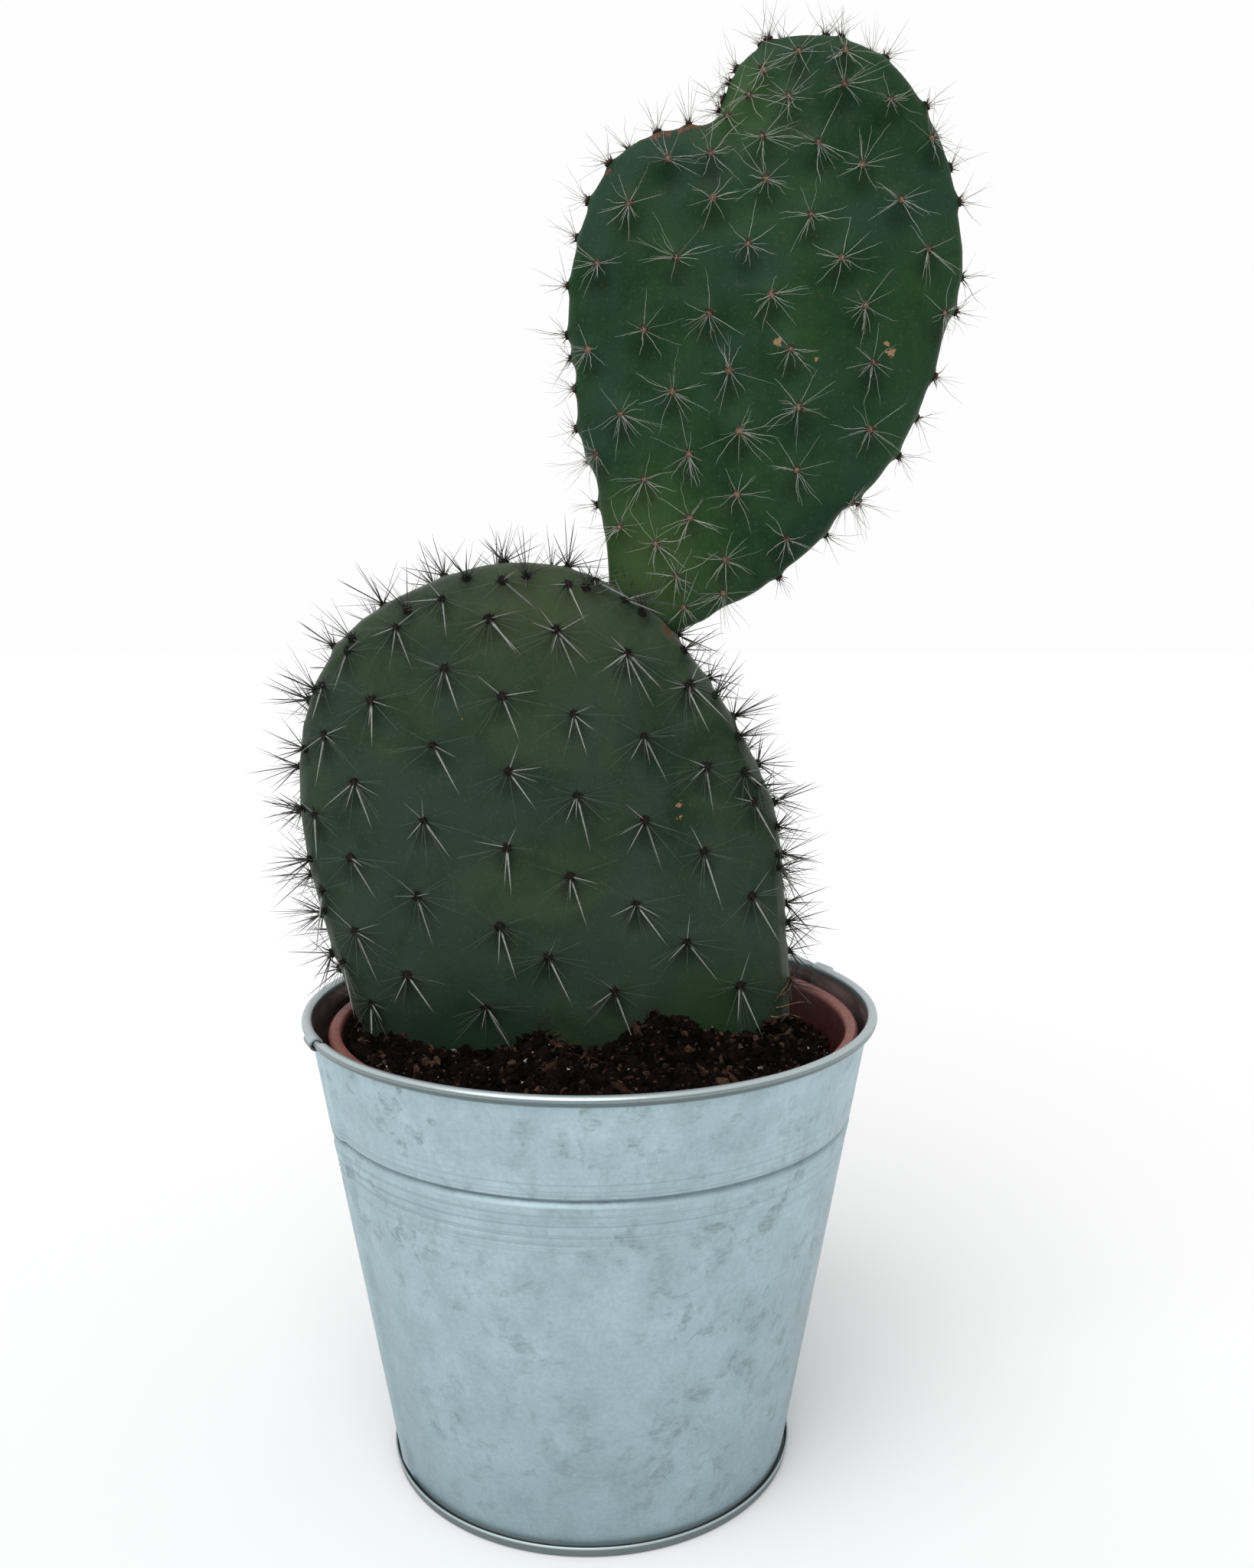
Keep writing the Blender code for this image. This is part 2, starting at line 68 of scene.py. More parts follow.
SKY_SEEN, SKY_LIGHT = 0.99, 0.68
sky = bpy.data.worlds.new("soft_sky")
sky.use_nodes = True
sky_nodes = sky.node_tree.nodes
seen = sky_nodes.new("ShaderNodeLightPath")
strength = sky_nodes.new("ShaderNodeMapRange")
strength.inputs["To Min"].default_value = SKY_LIGHT
strength.inputs["To Max"].default_value = SKY_SEEN
sky.node_tree.links.new(seen.outputs["Is Camera Ray"], strength.inputs["Value"])
sky.node_tree.links.new(strength.outputs["Result"], sky_nodes["Background"].inputs["Strength"])
sky_nodes["Background"].inputs["Color"].default_value = (1, 1, 1, 1)
bpy.context.scene.world = sky
bpy.context.scene.view_settings.view_transform = "Standard"

bpy.ops.object.light_add(type="SUN", location=(-0.6, -0.9, 1.4))
lamp = bpy.context.object
lamp.name = "soft_sun"
lamp.data.energy = 1.8
lamp.data.angle = math.radians(55)
lamp.rotation_euler = (math.radians(38), 0, math.radians(-24))

LENS = 31.45
CAMERA_BACK, CAMERA_UP = 0.332, 0.2108
CAMERA_PITCH, CAMERA_YAW = math.radians(7.345), math.radians(1.547)
camera_data = bpy.data.cameras.new("camera")
camera_data.lens = LENS
camera_data.sensor_width = 36
camera_data.clip_start = 0.01
camera = bpy.data.objects.new("camera", camera_data)
bpy.context.scene.collection.objects.link(camera)
camera.location = axis + Vector((0, -CAMERA_BACK, CAMERA_UP))
camera.rotation_euler = (math.pi / 2 - CAMERA_PITCH, 0, -CAMERA_YAW)
bpy.context.scene.camera = camera

# Bucket wall. Two half sheets of thin galvanised steel, each curled outwards into the rim and rolled
# with one deep groove and a few fine lines. One end of each sheet is stepped out over the other's.

wall_low, wall_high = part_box("bucket_wall_front")
SHEET = 0.0005
FIT = 0.0003
LAP_SHIFT = 0.0008
LAP_SWELL = LAP_SHIFT / 2
BEAD = 0.0012
CURL_TURN = math.radians(282)
RIM_RADIUS = 0.0703
RIM_TOP = wall_high.z - LAP_SWELL
GROOVE = RIM_TOP - 0.0253
FOOT_RADIUS = 0.0487
WALL_FOOT = wall_low.z
FOOT_RING = 0.0024
SEAM = math.radians(-64.5)
LAP = math.radians(6)
STEP_TURN = math.radians(1.5)
COLUMNS = 240
SOFT_EDGES = math.radians(40)


def add(tree, kind, inputs=None, **settings):
    """A shader node with its settings, whose inputs are values or other nodes' sockets."""
    made = tree.nodes.new(kind)
    for key, value in settings.items():
        setattr(made, key, value)
    for key, value in (inputs or {}).items():
        if isinstance(value, bpy.types.NodeSocket):
            tree.links.new(value, made.inputs[key])
        else:
            made.inputs[key].default_value = value
    return made


def ramp(tree, fac, *stops):
    """A colour ramp over fac, from (position, colour) stops."""
    made = add(tree, "ShaderNodeValToRGB", {"Fac": fac})
    points = made.color_ramp.elements
    while len(points) < len(stops):
        points.new(0.5)
    for point, (position, colour) in zip(points, stops):
        point.position = position
        point.color = (*colour, 1) if len(colour) == 3 else colour
    return made.outputs["Color"]


def grey(value):
    return (value, value, value)


def greys(tree, fac, *stops):
    """A ramp of greys over fac, from (position, value) stops."""
    return ramp(tree, fac, *((position, grey(value)) for position, value in stops))


def mix(tree, fac, a, b, blend="MIX"):
    """One colour over another."""
    made = add(tree, "ShaderNodeMix", data_type="RGBA", blend_type=blend)
    for socket, value in ((made.inputs[0], fac), (made.inputs[6], a), (made.inputs[7], b)):
        if isinstance(value, bpy.types.NodeSocket):
            tree.links.new(value, socket)
        elif isinstance(value, float):
            socket.default_value = value
        else:
            socket.default_value = (*value, 1)
    return made.outputs[2]


def tinted(tree, tone, shade):
    """One colour times another."""
    return mix(tree, 1.0, tone, shade, "MULTIPLY")


def object_place(tree):
    return add(tree, "ShaderNodeTexCoord").outputs["Object"]


def stretched(tree, where, scale):
    """The same coordinates at another scale each way, for patterns that run along or round."""
    return add(tree, "ShaderNodeMapping", {"Vector": where, "Scale": scale}).outputs["Vector"]


def kept_value(tree, key):
    """A number that keep_values stored on the mesh."""
    return add(tree, "ShaderNodeAttribute", attribute_name=key).outputs["Fac"]


def noise_of(tree, where, scale, detail=3.0, roughness=0.55, distortion=0.0):
    inputs = {"Vector": where, "Scale": scale, "Detail": detail, "Roughness": roughness}
    return add(tree, "ShaderNodeTexNoise", {**inputs, "Distortion": distortion}).outputs["Fac"]


def bump_of(tree, height, distance, strength=1.0, under=None):
    inputs = {"Height": height, "Distance": distance, "Strength": strength}
    if under is not None:
        inputs["Normal"] = under
    return add(tree, "ShaderNodeBump", inputs).outputs["Normal"]


def new_finish(name, roughness, metallic=0.0, **constants):
    """A material with its shader's constant values set, and its tree, shader and object coordinates."""
    material = bpy.data.materials.new(name)
    material.use_nodes = True
    tree = material.node_tree
    shader = tree.nodes["Principled BSDF"]
    shader.inputs["Roughness"].default_value = roughness
    shader.inputs["Metallic"].default_value = metallic
    for key, value in constants.items():
        shader.inputs[key.replace("_", " ")].default_value = value
    where = object_place(tree)
    return material, tree, shader, where


def new_group(name, inputs, outputs):
    """An empty node group with its labels by kind, and its tree, incoming sockets and outgoing node."""
    kinds = {"colour": "NodeSocketColor", "value": "NodeSocketFloat", "place": "NodeSocketVector"}
    tree = bpy.data.node_groups.new(name, "ShaderNodeTree")
    for way, labels_of in (("INPUT", inputs), ("OUTPUT", outputs)):
        for kind, labels in labels_of.items():
            for label in labels:
                tree.interface.new_socket(name=label, in_out=way, socket_type=kinds[kind])
    return tree, add(tree, "NodeGroupInput").outputs, add(tree, "NodeGroupOutput")


def apply_group(tree, effect, **values):
    """A node group placed in a material with its own values; gives its outputs."""
    placed_group = add(tree, "ShaderNodeGroup", node_tree=effect)
    for label, value in values.items():
        socket = placed_group.inputs[label]
        if isinstance(value, bpy.types.NodeSocket):
            tree.links.new(value, socket)
        elif socket.type == "RGBA":
            socket.default_value = (*value, 1)
        else:
            socket.default_value = value
    return placed_group.outputs


def sum_of(tree, operation, *values):
    return add(tree, "ShaderNodeMath", dict(enumerate(values)), operation=operation).outputs["Value"]


def times(tree, a, b):
    return sum_of(tree, "MULTIPLY", a, b)


def spread_over(tree, value, low, high, to_low=0.0, to_high=1.0, **settings):
    """Carries a value from its range between low and high over to another range."""
    inputs = {"Value": value, "From Min": low, "From Max": high, "To Min": to_low, "To Max": to_high}
    return add(tree, "ShaderNodeMapRange", inputs, **settings).outputs["Result"]


def height_band():
    """A mask that is 1 where the height lies between Low and High."""
    tree, given, out = new_group("height_band", {"value": ["Low", "High", "Soft"]}, {"value": ["Mask"]})
    height = add(tree, "ShaderNodeSeparateXYZ", {"Vector": object_place(tree)}).outputs["Z"]
    sides = []
    for edge, below, above in (("Low", 0.0, 1.0), ("High", 1.0, 0.0)):
        start = sum_of(tree, "SUBTRACT", given[edge], given["Soft"])
        stop = sum_of(tree, "ADD", given[edge], given["Soft"])
        sides.append(spread_over(tree, height, start, stop, below, above, interpolation_type="SMOOTHSTEP"))
    tree.links.new(times(tree, *sides), out.inputs["Mask"])
    return tree


HEIGHT_BAND = height_band()


def band(tree, low, high, soft):
    return apply_group(tree, HEIGHT_BAND, Low=low, High=high, Soft=soft)["Mask"]


def triples_of(source, key):
    flat = np.empty(len(source) * 3, np.float32)
    source.foreach_get(key, flat)
    return flat.reshape(-1, 3).astype(float)


def points_of(piece):
    return triples_of(piece.data.vertices, "co")


def normals_of(piece):
    return triples_of(piece.data.vertex_normals, "vector")


def keep_values(piece, key, values):
    """Stores one number per point on the mesh, for its material to read."""
    store = piece.data.attributes.get(key) or piece.data.attributes.new(key, "FLOAT", "POINT")
    store.data.foreach_set("value", np.asarray(values, np.float32))


def galvanised():
    """Hot-dipped zinc: cloudy tone, fine grain, many small grey-green smudges and darker towards the
    bottom;
    painted shade and highlight where the sheet was rolled (under and along the top of the curl, at the
    groove), a darker foot with a painted highlight on its edge, and painted shade with a painted
    reflection of the red pot on the inner side."""
    material, tree, shader, where = new_finish("galvanised_zinc", 0.42, 0.6, Specular_IOR_Level=0.4)
    height = add(tree, "ShaderNodeSeparateXYZ", {"Vector": where}).outputs["Z"]
    clouds = noise_of(tree, where, 30.0, 6.0, 0.65)
    tone = ramp(tree, clouds, (0.30, (0.335, 0.450, 0.495)), (0.70, (0.425, 0.555, 0.610)))
    rise = spread_over(tree, height, 0.0, RIM_TOP)
    tone = tinted(tree, tone, greys(tree, rise, (0.0, 0.77), (0.60, 0.97), (1.0, 1.06)))
    grain = noise_of(tree, where, 900.0, 3.0, 0.7)
    tone = tinted(tree, tone, greys(tree, grain, (0.3, 0.92), (0.7, 1.06)))
    cloudlets = noise_of(tree, where, 105.0, 5.0, 0.65)
    tone = tinted(tree, tone, greys(tree, cloudlets, (0.34, 0.90), (0.62, 1.05)))
    patches = greys(tree, noise_of(tree, where, 48.0, 3.0, 0.6), (0.40, 0.15), (0.58, 1.0))
    smudges = greys(tree, noise_of(tree, where, 185.0, 5.0, 0.62, 0.5), (0.51, 0.0), (0.63, 0.85))
    strokes = noise_of(tree, stretched(tree, where, (420.0, 420.0, 1500.0)), 1.0, 3.0, 0.6)
    strokes = greys(tree, strokes, (0.40, 0.4), (0.60, 1.0))
    rubs = tinted(tree, tinted(tree, patches, smudges), strokes)
    tone = mix(tree, rubs, tone, (0.215, 0.285, 0.290))
    spun = noise_of(tree, stretched(tree, where, (9.0, 9.0, 1600.0)), 1.0, 3.0, 0.6)
    rolled = band(tree, GROOVE - 0.012, GROOVE + 0.006, 0.003)
    lines = times(tree, rolled, greys(tree, spun, (0.50, 0.0), (0.66, 0.5)))
    tone = mix(tree, lines, tone, (0.26, 0.33, 0.35))
    # Painted shade in a dark band along the groove's upper edge and a painted highlight in a lighter band
    # along its lower lip, both patchy with the zinc's clouds.
    patchy_groove_light = greys(tree, clouds, (0.3, 0.6), (0.7, 1.0))
    for low, high, soft, painted_groove_light in (
        (GROOVE + 0.0005, GROOVE + 0.0014, 0.0002, (0.115, 0.14, 0.15)),
        (GROOVE - 0.0010, GROOVE - 0.0004, 0.0003, (0.42, 0.54, 0.59)),
    ):
        tone = mix(tree, times(tree, band(tree, low, high, soft), patchy_groove_light), tone, painted_groove_light)
    # Painted light on the curl: painted shade under it, lightening through a middle band to a painted
    # highlight along its top. Round the foot the zinc is darker below the foot ring's edge, with a painted
    # highlight along that edge.
    under = RIM_TOP - 2 * BEAD
    for low, high, soft, painted_light_tone in (
        (under - 0.0005, RIM_TOP - 0.0011, 0.0003, (0.125, 0.160, 0.165)),
        (RIM_TOP - 0.0011, RIM_TOP - 0.0006, 0.0003, (0.210, 0.255, 0.260)),
        (RIM_TOP - 0.0006, RIM_TOP + 0.01, 0.0002, (0.50, 0.57, 0.58)),
        (-0.01, FOOT_RING - 0.0004, 0.0002, (0.150, 0.185, 0.195)),
        (FOOT_RING - 0.0004, FOOT_RING + 0.0003, 0.0001, (0.40, 0.47, 0.49)),
    ):
        tone = mix(tree, band(tree, low, high, soft), tone, painted_light_tone)
    # Painted shade and a painted reflection of the red pot: the wall's inner side, below the curl, dark
    # reddish brown in long streaks.
    painted_inside_shade = noise_of(tree, stretched(tree, where, (45.0, 45.0, 240.0)), 1.0, 3.0)
    painted_inside_shade = ramp(tree, painted_inside_shade, (0.38, (0.050, 0.036, 0.037)), (0.62, (0.230, 0.165, 0.160)))
    tone = mix(tree, kept_value(tree, "inside"), tone, painted_inside_shade)
    tree.links.new(tone, shader.inputs["Base Color"])
    rough = greys(tree, clouds, (0.3, 0.40), (0.7, 0.55))
    rough = mix(tree, band(tree, under, RIM_TOP + 0.01, 0.0003), rough, grey(0.30))
    tree.links.new(rough, shader.inputs["Roughness"])
    fine = bump_of(tree, grain, 0.0001, 0.25)
    tree.links.new(bump_of(tree, spun, 0.0001, 0.25, fine), shader.inputs["Normal"])
    return material


def finish_piece(piece, name, material, nodes=()):
    """Names a finished piece, gives it its material, hangs it on the root body and hides the CAD parts
    it stands for.
    """
    piece.name = name
    piece.data.name = name
    piece.data.materials.clear()
    piece.data.materials.append(material)
    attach(piece, "root")
    if nodes:
        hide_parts(*nodes)
    piece.select_set(False)
    return piece


def raise_rings(stations, centre):
    """Extrudes the selected ring or face through (radius, height) stations about an upright axis."""
    for (radius, height), (next_radius, next_height) in zip(stations, stations[1:]):
        bpy.ops.mesh.extrude_region_move(TRANSFORM_OT_translate={"value": (0, 0, next_height - height)})
        share = next_radius / radius
        bpy.ops.transform.resize(value=(share, share, 1), center_override=centre)


def wall_radius(height):
    """The plain wall's middle radius: a straight taper from the foot to the curl."""
    top_radius, top = RIM_RADIUS - 2 * BEAD + SHEET, RIM_TOP - BEAD
    return FOOT_RADIUS + (top_radius - FOOT_RADIUS) * height / top - SHEET / 2


def wall_stations():
    """The sheet's middle line as (radius, height), with the groove, the fine lines and the curl."""
    dents = [(0.0041, 0.0), (0.0012, 0.0), (0.0006, 0.00085), (0.0002, 0.00095)]
    dents += [(-0.0007, 0.0001), (-0.0014, -0.00012)]
    for line, deep in (
        (0.0085, 0.0001), (-0.0052, 0.00016), (-0.0066, 0.00012),
        (-0.0079, 0.00016), (-0.0097, 0.0001),
    ):
        dents += [(line + 0.0004, 0.0), (line, deep), (line - 0.0004, 0.0)]
    dents = [(GROOVE + up, deep) for up, deep in dents]
    plain = [WALL_FOOT, 0.004] + [0.012 * step for step in range(1, 7)]
    plain += [GROOVE + 0.017, RIM_TOP - BEAD - 0.0015]
    levels = sorted(dents + [(height, 0.0) for height in plain])
    stations = [(wall_radius(height) - deep, height) for height, deep in levels]
    centre, top, curl = RIM_RADIUS - BEAD, RIM_TOP - BEAD, BEAD - SHEET / 2
    for step in range(17):
        angle = math.pi - CURL_TURN * step / 16
        stations.append((centre + curl * math.cos(angle), top + curl * math.sin(angle)))
    return stations


def azimuth(point):
    """The turn from the front, growing to the right."""
    return math.atan2(point.x - axis.x, axis.y - point.y)


def turn_after(angle, start):
    return (angle - start) % math.tau


def half_sheet(seam):
    """Half a turn of wall whose first edge is stepped out over the other half at this seam."""
    stations = wall_stations()
    start = seam - LAP / 2
    span = math.pi + LAP - STEP_TURN
    place = (axis.x, axis.y, stations[0][1])
    bpy.ops.mesh.primitive_circle_add(vertices=COLUMNS, radius=stations[0][0], location=place)
    sheet = bpy.context.object
    bpy.ops.object.transform_apply(location=True, rotation=False, scale=False)
    bpy.ops.object.mode_set(mode="EDIT")
    ring = bmesh.from_edit_mesh(sheet.data)
    for vertex in ring.verts:
        vertex.select_set(turn_after(azimuth(vertex.co), start - 0.001) > span + 0.002)
    bpy.ops.mesh.delete(type="VERT")
    bpy.ops.mesh.select_all(action="SELECT")
    raise_rings(stations, (axis.x, axis.y, 0))
    bpy.ops.object.mode_set(mode="OBJECT")
    curl_centre, curl_height = RIM_RADIUS - BEAD, RIM_TOP - BEAD
    for vertex in sheet.data.vertices:
        angle = azimuth(vertex.co)
        past = turn_after(angle, start - 0.001)
        over = min(1.0, max(0.0, (LAP + STEP_TURN - past) / STEP_TURN))
        under = min(1.0, max(0.0, (past - math.pi + STEP_TURN) / STEP_TURN))
        out = Vector((math.sin(angle), -math.cos(angle), 0))
        in_curl = (vertex.co - axis).dot(out) > curl_centre - BEAD + SHEET * 0.75
        if in_curl or vertex.co.z > curl_height - 1e-6:
            heart = axis + out * curl_centre + Vector((0, 0, curl_height))
            spoke = (vertex.co - heart).normalized()
            vertex.co += out * LAP_SWELL * (over + under) + spoke * LAP_SWELL * (under - over)
        else:
            vertex.co += out * LAP_SHIFT * over
        if over > 0 and vertex.co.z < FOOT_RING:
            at_foot = vertex.co.z < WALL_FOOT + 0.001
            vertex.co.z = FOOT_RING + 2 * FIT if at_foot else vertex.co.z + 0.001
    skin = sheet.modifiers.new("sheet", "SOLIDIFY")
    skin.thickness = SHEET
    skin.offset = 0
    bpy.ops.object.modifier_apply(modifier=skin.name)
    bpy.ops.object.shade_smooth_by_angle(angle=SOFT_EDGES)
    from_axis = points_of(sheet) - np.array(axis)
    outwards = (from_axis[:, :2] * normals_of(sheet)[:, :2]).sum(1)
    keep_values(sheet, "inside", (outwards < 0) & (from_axis[:, 2] < RIM_TOP - BEAD))
    return sheet


zinc = galvanised()
finish_piece(half_sheet(SEAM), "wall_sheet_front", zinc, ["bucket_wall_front"])
finish_piece(half_sheet(SEAM + math.pi), "wall_sheet_back", zinc, ["bucket_wall_back"])

# Bucket floor. A pressed disc of the same sheet, set up off the table, with its edge turned down and
# back up round the foot of the wall to clamp it.


def turned_piece(stations, place, segments):
    """A solid of revolution: a disc pulled through (radius, height) stations about an upright axis."""
    start = (place.x, place.y, stations[0][1])
    bpy.ops.mesh.primitive_circle_add(
        vertices=segments, radius=stations[0][0], fill_type="NGON", location=start
    )
    piece = bpy.context.object
    bpy.ops.object.transform_apply(location=True, rotation=False, scale=False)
    bpy.ops.object.mode_set(mode="EDIT")
    bpy.ops.mesh.select_all(action="SELECT")
    raise_rings(stations, (place.x, place.y, 0))
    bpy.ops.mesh.select_all(action="SELECT")
    bpy.ops.mesh.normals_make_consistent(inside=False)
    bpy.ops.object.mode_set(mode="OBJECT")
    bpy.ops.object.shade_smooth_by_angle(angle=SOFT_EDGES)
    return piece


RECESS = 0.003
RING_CLEARANCE = 0.0008
leg = wall_radius(0) - SHEET / 2 - FIT
ring = wall_radius(0) + SHEET / 2 + RING_CLEARANCE + SHEET
lean = wall_radius(FOOT_RING) - wall_radius(0)
floor_stations = [
    (leg - SHEET, RECESS), (leg - SHEET, 0.0003), (leg - SHEET + 0.0003, 0.0), (ring - 0.0004, 0.0),
    (ring - 0.0001, 0.0001), (ring, 0.0004), (ring + lean * 0.5, FOOT_RING * 0.5),
    (ring + lean, FOOT_RING - 0.0003), (ring + lean - 0.0001, FOOT_RING - 0.0001),
    (ring + lean - 0.0003, FOOT_RING), (ring + lean - SHEET, FOOT_RING - 0.0002), (ring - SHEET, SHEET),
    (leg, SHEET), (leg, RECESS + SHEET),
]
finish_piece(turned_piece(floor_stations, axis, 240), "floor_disc", zinc, ["bucket_base"])

# Nursery pot. Thin moulded plastic the colour of terracotta, with a broad flat rim that folds over
# into a skirt, a straight taper and eight drain holes round the floor.

POT_WALL = 0.0012
POT_CLEARANCE = 0.0027
SKIRT = 0.009
RIM_WIDTH = 0.003
DRAIN_COUNT = 8
DRAIN_RADIUS = 0.004
DRAIN_EDGE = 0.0095
pot_low, pot_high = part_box("nursery_pot")
soil_low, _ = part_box("potting_soil")
pot_axis = Vector(((pot_low.x + pot_high.x) / 2, (pot_low.y + pot_high.y) / 2, 0))
pot_rim = (pot_high.x - pot_low.x) / 2
taper = (wall_radius(0.1) - wall_radius(0)) / 0.1
soil_level = pot_high.z - 0.0065


def pot_plastic():
    """Satin moulded plastic with a faint flow texture and specks of soil, and painted shade that makes it
    deeper red below its rim.
    """
    material, tree, shader, where = new_finish("terracotta_plastic", 0.5)
    flow = noise_of(tree, where, 90.0, 4.0)
    dust = noise_of(tree, where, 420.0, 5.0, 0.7)
    tone = ramp(tree, flow, (0.3, (0.195, 0.064, 0.051)), (0.7, (0.255, 0.090, 0.071)))
    specks = greys(tree, dust, (0.60, 0.0), (0.68, 0.55))
    tone = mix(tree, specks, tone, (0.09, 0.045, 0.035))
    # Painted shade: all of the pot below the top of its rim darker and deeper red.
    inside = band(tree, -0.1, pot_high.z - 0.0014, 0.0005)
    tree.links.new(mix(tree, inside, tone, (0.052, 0.006, 0.004)), shader.inputs["Base Color"])
    tree.links.new(greys(tree, dust, (0.3, 0.38), (0.7, 0.62)), shader.inputs["Roughness"])
    tree.links.new(bump_of(tree, flow, 0.0004, 0.15), shader.inputs["Normal"])
    return material


def pot_stations():
    low, high = pot_low.z, pot_high.z
    foot = wall_radius(low) - SHEET / 2 - POT_CLEARANCE
    fold = pot_rim - taper * SKIRT
    inner_top = pot_rim - RIM_WIDTH
    under = high - POT_WALL
    skirt = high - SKIRT
    slope = (inner_top - foot + POT_WALL) / (high - low)
    return [
        (foot - 0.001, low), (foot, low + 0.001), (foot + slope * (skirt - low), skirt),
        (inner_top + POT_WALL, under), (pot_rim - POT_WALL, under), (fold - POT_WALL, skirt),
        (fold - POT_WALL + 0.0004, skirt - 0.0003), (fold - 0.0003, skirt - 0.0003), (fold, skirt),
        (pot_rim, high - 0.0009), (pot_rim - 0.0002, high - 0.0004), (pot_rim - 0.0007, high),
        (inner_top + 0.0006, high - 0.0001), (inner_top + 0.0001, high - 0.0005),
        (inner_top - 0.0001, high - 0.0012), (inner_top - slope * SKIRT, skirt),
        (foot - POT_WALL + slope * 0.02, low + 0.02), (foot - POT_WALL, low + POT_WALL + 0.001),
        (foot - POT_WALL - 0.001, low + POT_WALL),
    ]


nursery_pot = turned_piece(pot_stations(), pot_axis, 160)
drain_ring = wall_radius(pot_low.z) - POT_CLEARANCE - POT_WALL - DRAIN_EDGE
for turn in range(DRAIN_COUNT):
    angle = math.tau * turn / DRAIN_COUNT
    place = pot_axis + Vector((drain_ring * math.sin(angle), -drain_ring * math.cos(angle), pot_low.z))
    bpy.ops.mesh.primitive_cylinder_add(vertices=24, radius=DRAIN_RADIUS, depth=0.006, location=place)
    drill = bpy.context.object
    hole = nursery_pot.modifiers.new("drain_hole", "BOOLEAN")
    hole.object = drill
    hole.operation = "DIFFERENCE"
    bpy.ops.object.select_all(action="DESELECT")
    bpy.context.view_layer.objects.active = nursery_pot
    bpy.ops.object.modifier_apply(modifier=hole.name)
    bpy.data.objects.remove(drill)
nursery_pot.select_set(True)
bpy.ops.object.shade_smooth_by_angle(angle=SOFT_EDGES)
finish_piece(nursery_pot, "plastic_pot", pot_plastic(), ["nursery_pot"])

# Pads. Fleshy green stem joints with a waxy skin: the old lower one is dusky and blue-grey, the young
# upper one a fresher green, heart-shaped, with a corky scar along the top of its left lobe. The skin
# rises a little under each areole and sinks just below it.


def close_copy(node, voxel, smoothing):
    """The CAD solid's shape as an even, finely divided mesh, for shaping further."""
    bpy.ops.object.select_all(action="DESELECT")
    piece = bpy.data.objects.new(node + "_fine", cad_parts[node].data.copy())
    bpy.context.scene.collection.objects.link(piece)
    bpy.context.view_layer.objects.active = piece
    piece.select_set(True)
    bpy.ops.object.mode_set(mode="EDIT")
    bpy.ops.mesh.select_all(action="SELECT")
    bpy.ops.mesh.remove_doubles(threshold=0.00001)
    bpy.ops.mesh.normals_make_consistent(inside=False)
    bpy.ops.object.mode_set(mode="OBJECT")
    even = piece.modifiers.new("even", "REMESH")
    even.mode = "VOXEL"
    even.voxel_size = voxel
    bpy.ops.object.modifier_apply(modifier=even.name)
    calm = piece.modifiers.new("calm", "SMOOTH")
    calm.factor = 0.5
    calm.iterations = smoothing
    bpy.ops.object.modifier_apply(modifier=calm.name)
    return piece


def move_points(piece, points):
    piece.data.vertices.foreach_set("co", points.astype(np.float32).ravel())
    piece.data.update()


def through(top, belly, foot, count):
    """Evenly spaced points along the arc through a top, a belly and a foot."""
    for step in range(count):
        t = step / (count - 1)
        shares = ((1 - t) * (1 - 2 * t), 4 * t * (1 - t), t * (2 * t - 1))
        across = sum(point[0] * share for point, share in zip((top, belly, foot), shares))
        yield across, sum(point[1] * share for point, share in zip((top, belly, foot), shares))


def face_spots(surface, columns, front, draw, wander):
    """Where rows of areoles, given as (across, up) from the soil on the axis, meet a pad's face."""
    spots = []
    side = -1 if front else 1
    for column in columns:
        for across, up in through(*column):
            x = axis.x + across + draw.uniform(-wander, wander)
            z = soil_level + up + draw.uniform(-wander, wander)
            spot, normal, _, _ = surface.ray_cast(Vector((x, 0.2 * side, z)), Vector((0, -side, 0)))
            if spot is not None:
                spots.append((spot, normal))
    return spots


def rim_spots(surface, middle, degrees, spread, draw):
    """Where areoles sit round a pad's rim, in turn before, on and behind its middle plane."""
    spots = []
    for rank, angle in enumerate(degrees):
        turn = math.radians(angle + draw.uniform(-1.2, 1.2))
        outwards = Vector((math.cos(turn), 0, math.sin(turn)))
        depth = (rank % 3 - 1) * spread + draw.uniform(-0.2, 0.2) * spread
        far = middle + Vector((0, depth, 0)) + outwards * 0.2
        spot, normal, _, _ = surface.ray_cast(far, -outwards)
        if spot is not None:
            spots.append((spot, normal))
    return spots


def surface_of(piece):
    return BVHTree.FromObject(piece, bpy.context.evaluated_depsgraph_get())


def swell_under(piece, spots, rise, width, dip):
    """Raises the skin into a low tubercle under each areole and sinks it below, with painted shade there.
    """
    points, normals = points_of(piece), normals_of(piece)
    lift, hollow_shade = np.zeros(len(points)), np.zeros(len(points))
    for spot, normal in spots:
        down = Vector((0, 0, -1)) + normal * normal.z
        below = np.array(spot + down * width * 1.25)
        far = ((points - np.array(spot)) ** 2).sum(1)
        far_below = ((points - below) ** 2).sum(1)
        lift += rise * np.exp(-far / (2 * (width * 0.55) ** 2))
        lift -= dip * np.exp(-far_below / (2 * width**2))
        hollow_shade = np.maximum(hollow_shade, np.exp(-far_below / (2 * (width * 0.75) ** 2)))
    move_points(piece, points + normals * lift[:, None])
    known = np.zeros(len(points), np.float32)
    if "hollow_shade" in piece.data.attributes:
        piece.data.attributes["hollow_shade"].data.foreach_get("value", known)
    keep_values(piece, "hollow_shade", np.maximum(hollow_shade, known))


def undulate(piece, height, scale):
    """Slow, uneven swelling over the whole skin."""
    points, normals = points_of(piece), normals_of(piece)
    lift = np.array([noise.noise(Vector(point) * scale) for point in points]) * height
    move_points(piece, points + normals * lift[:, None])


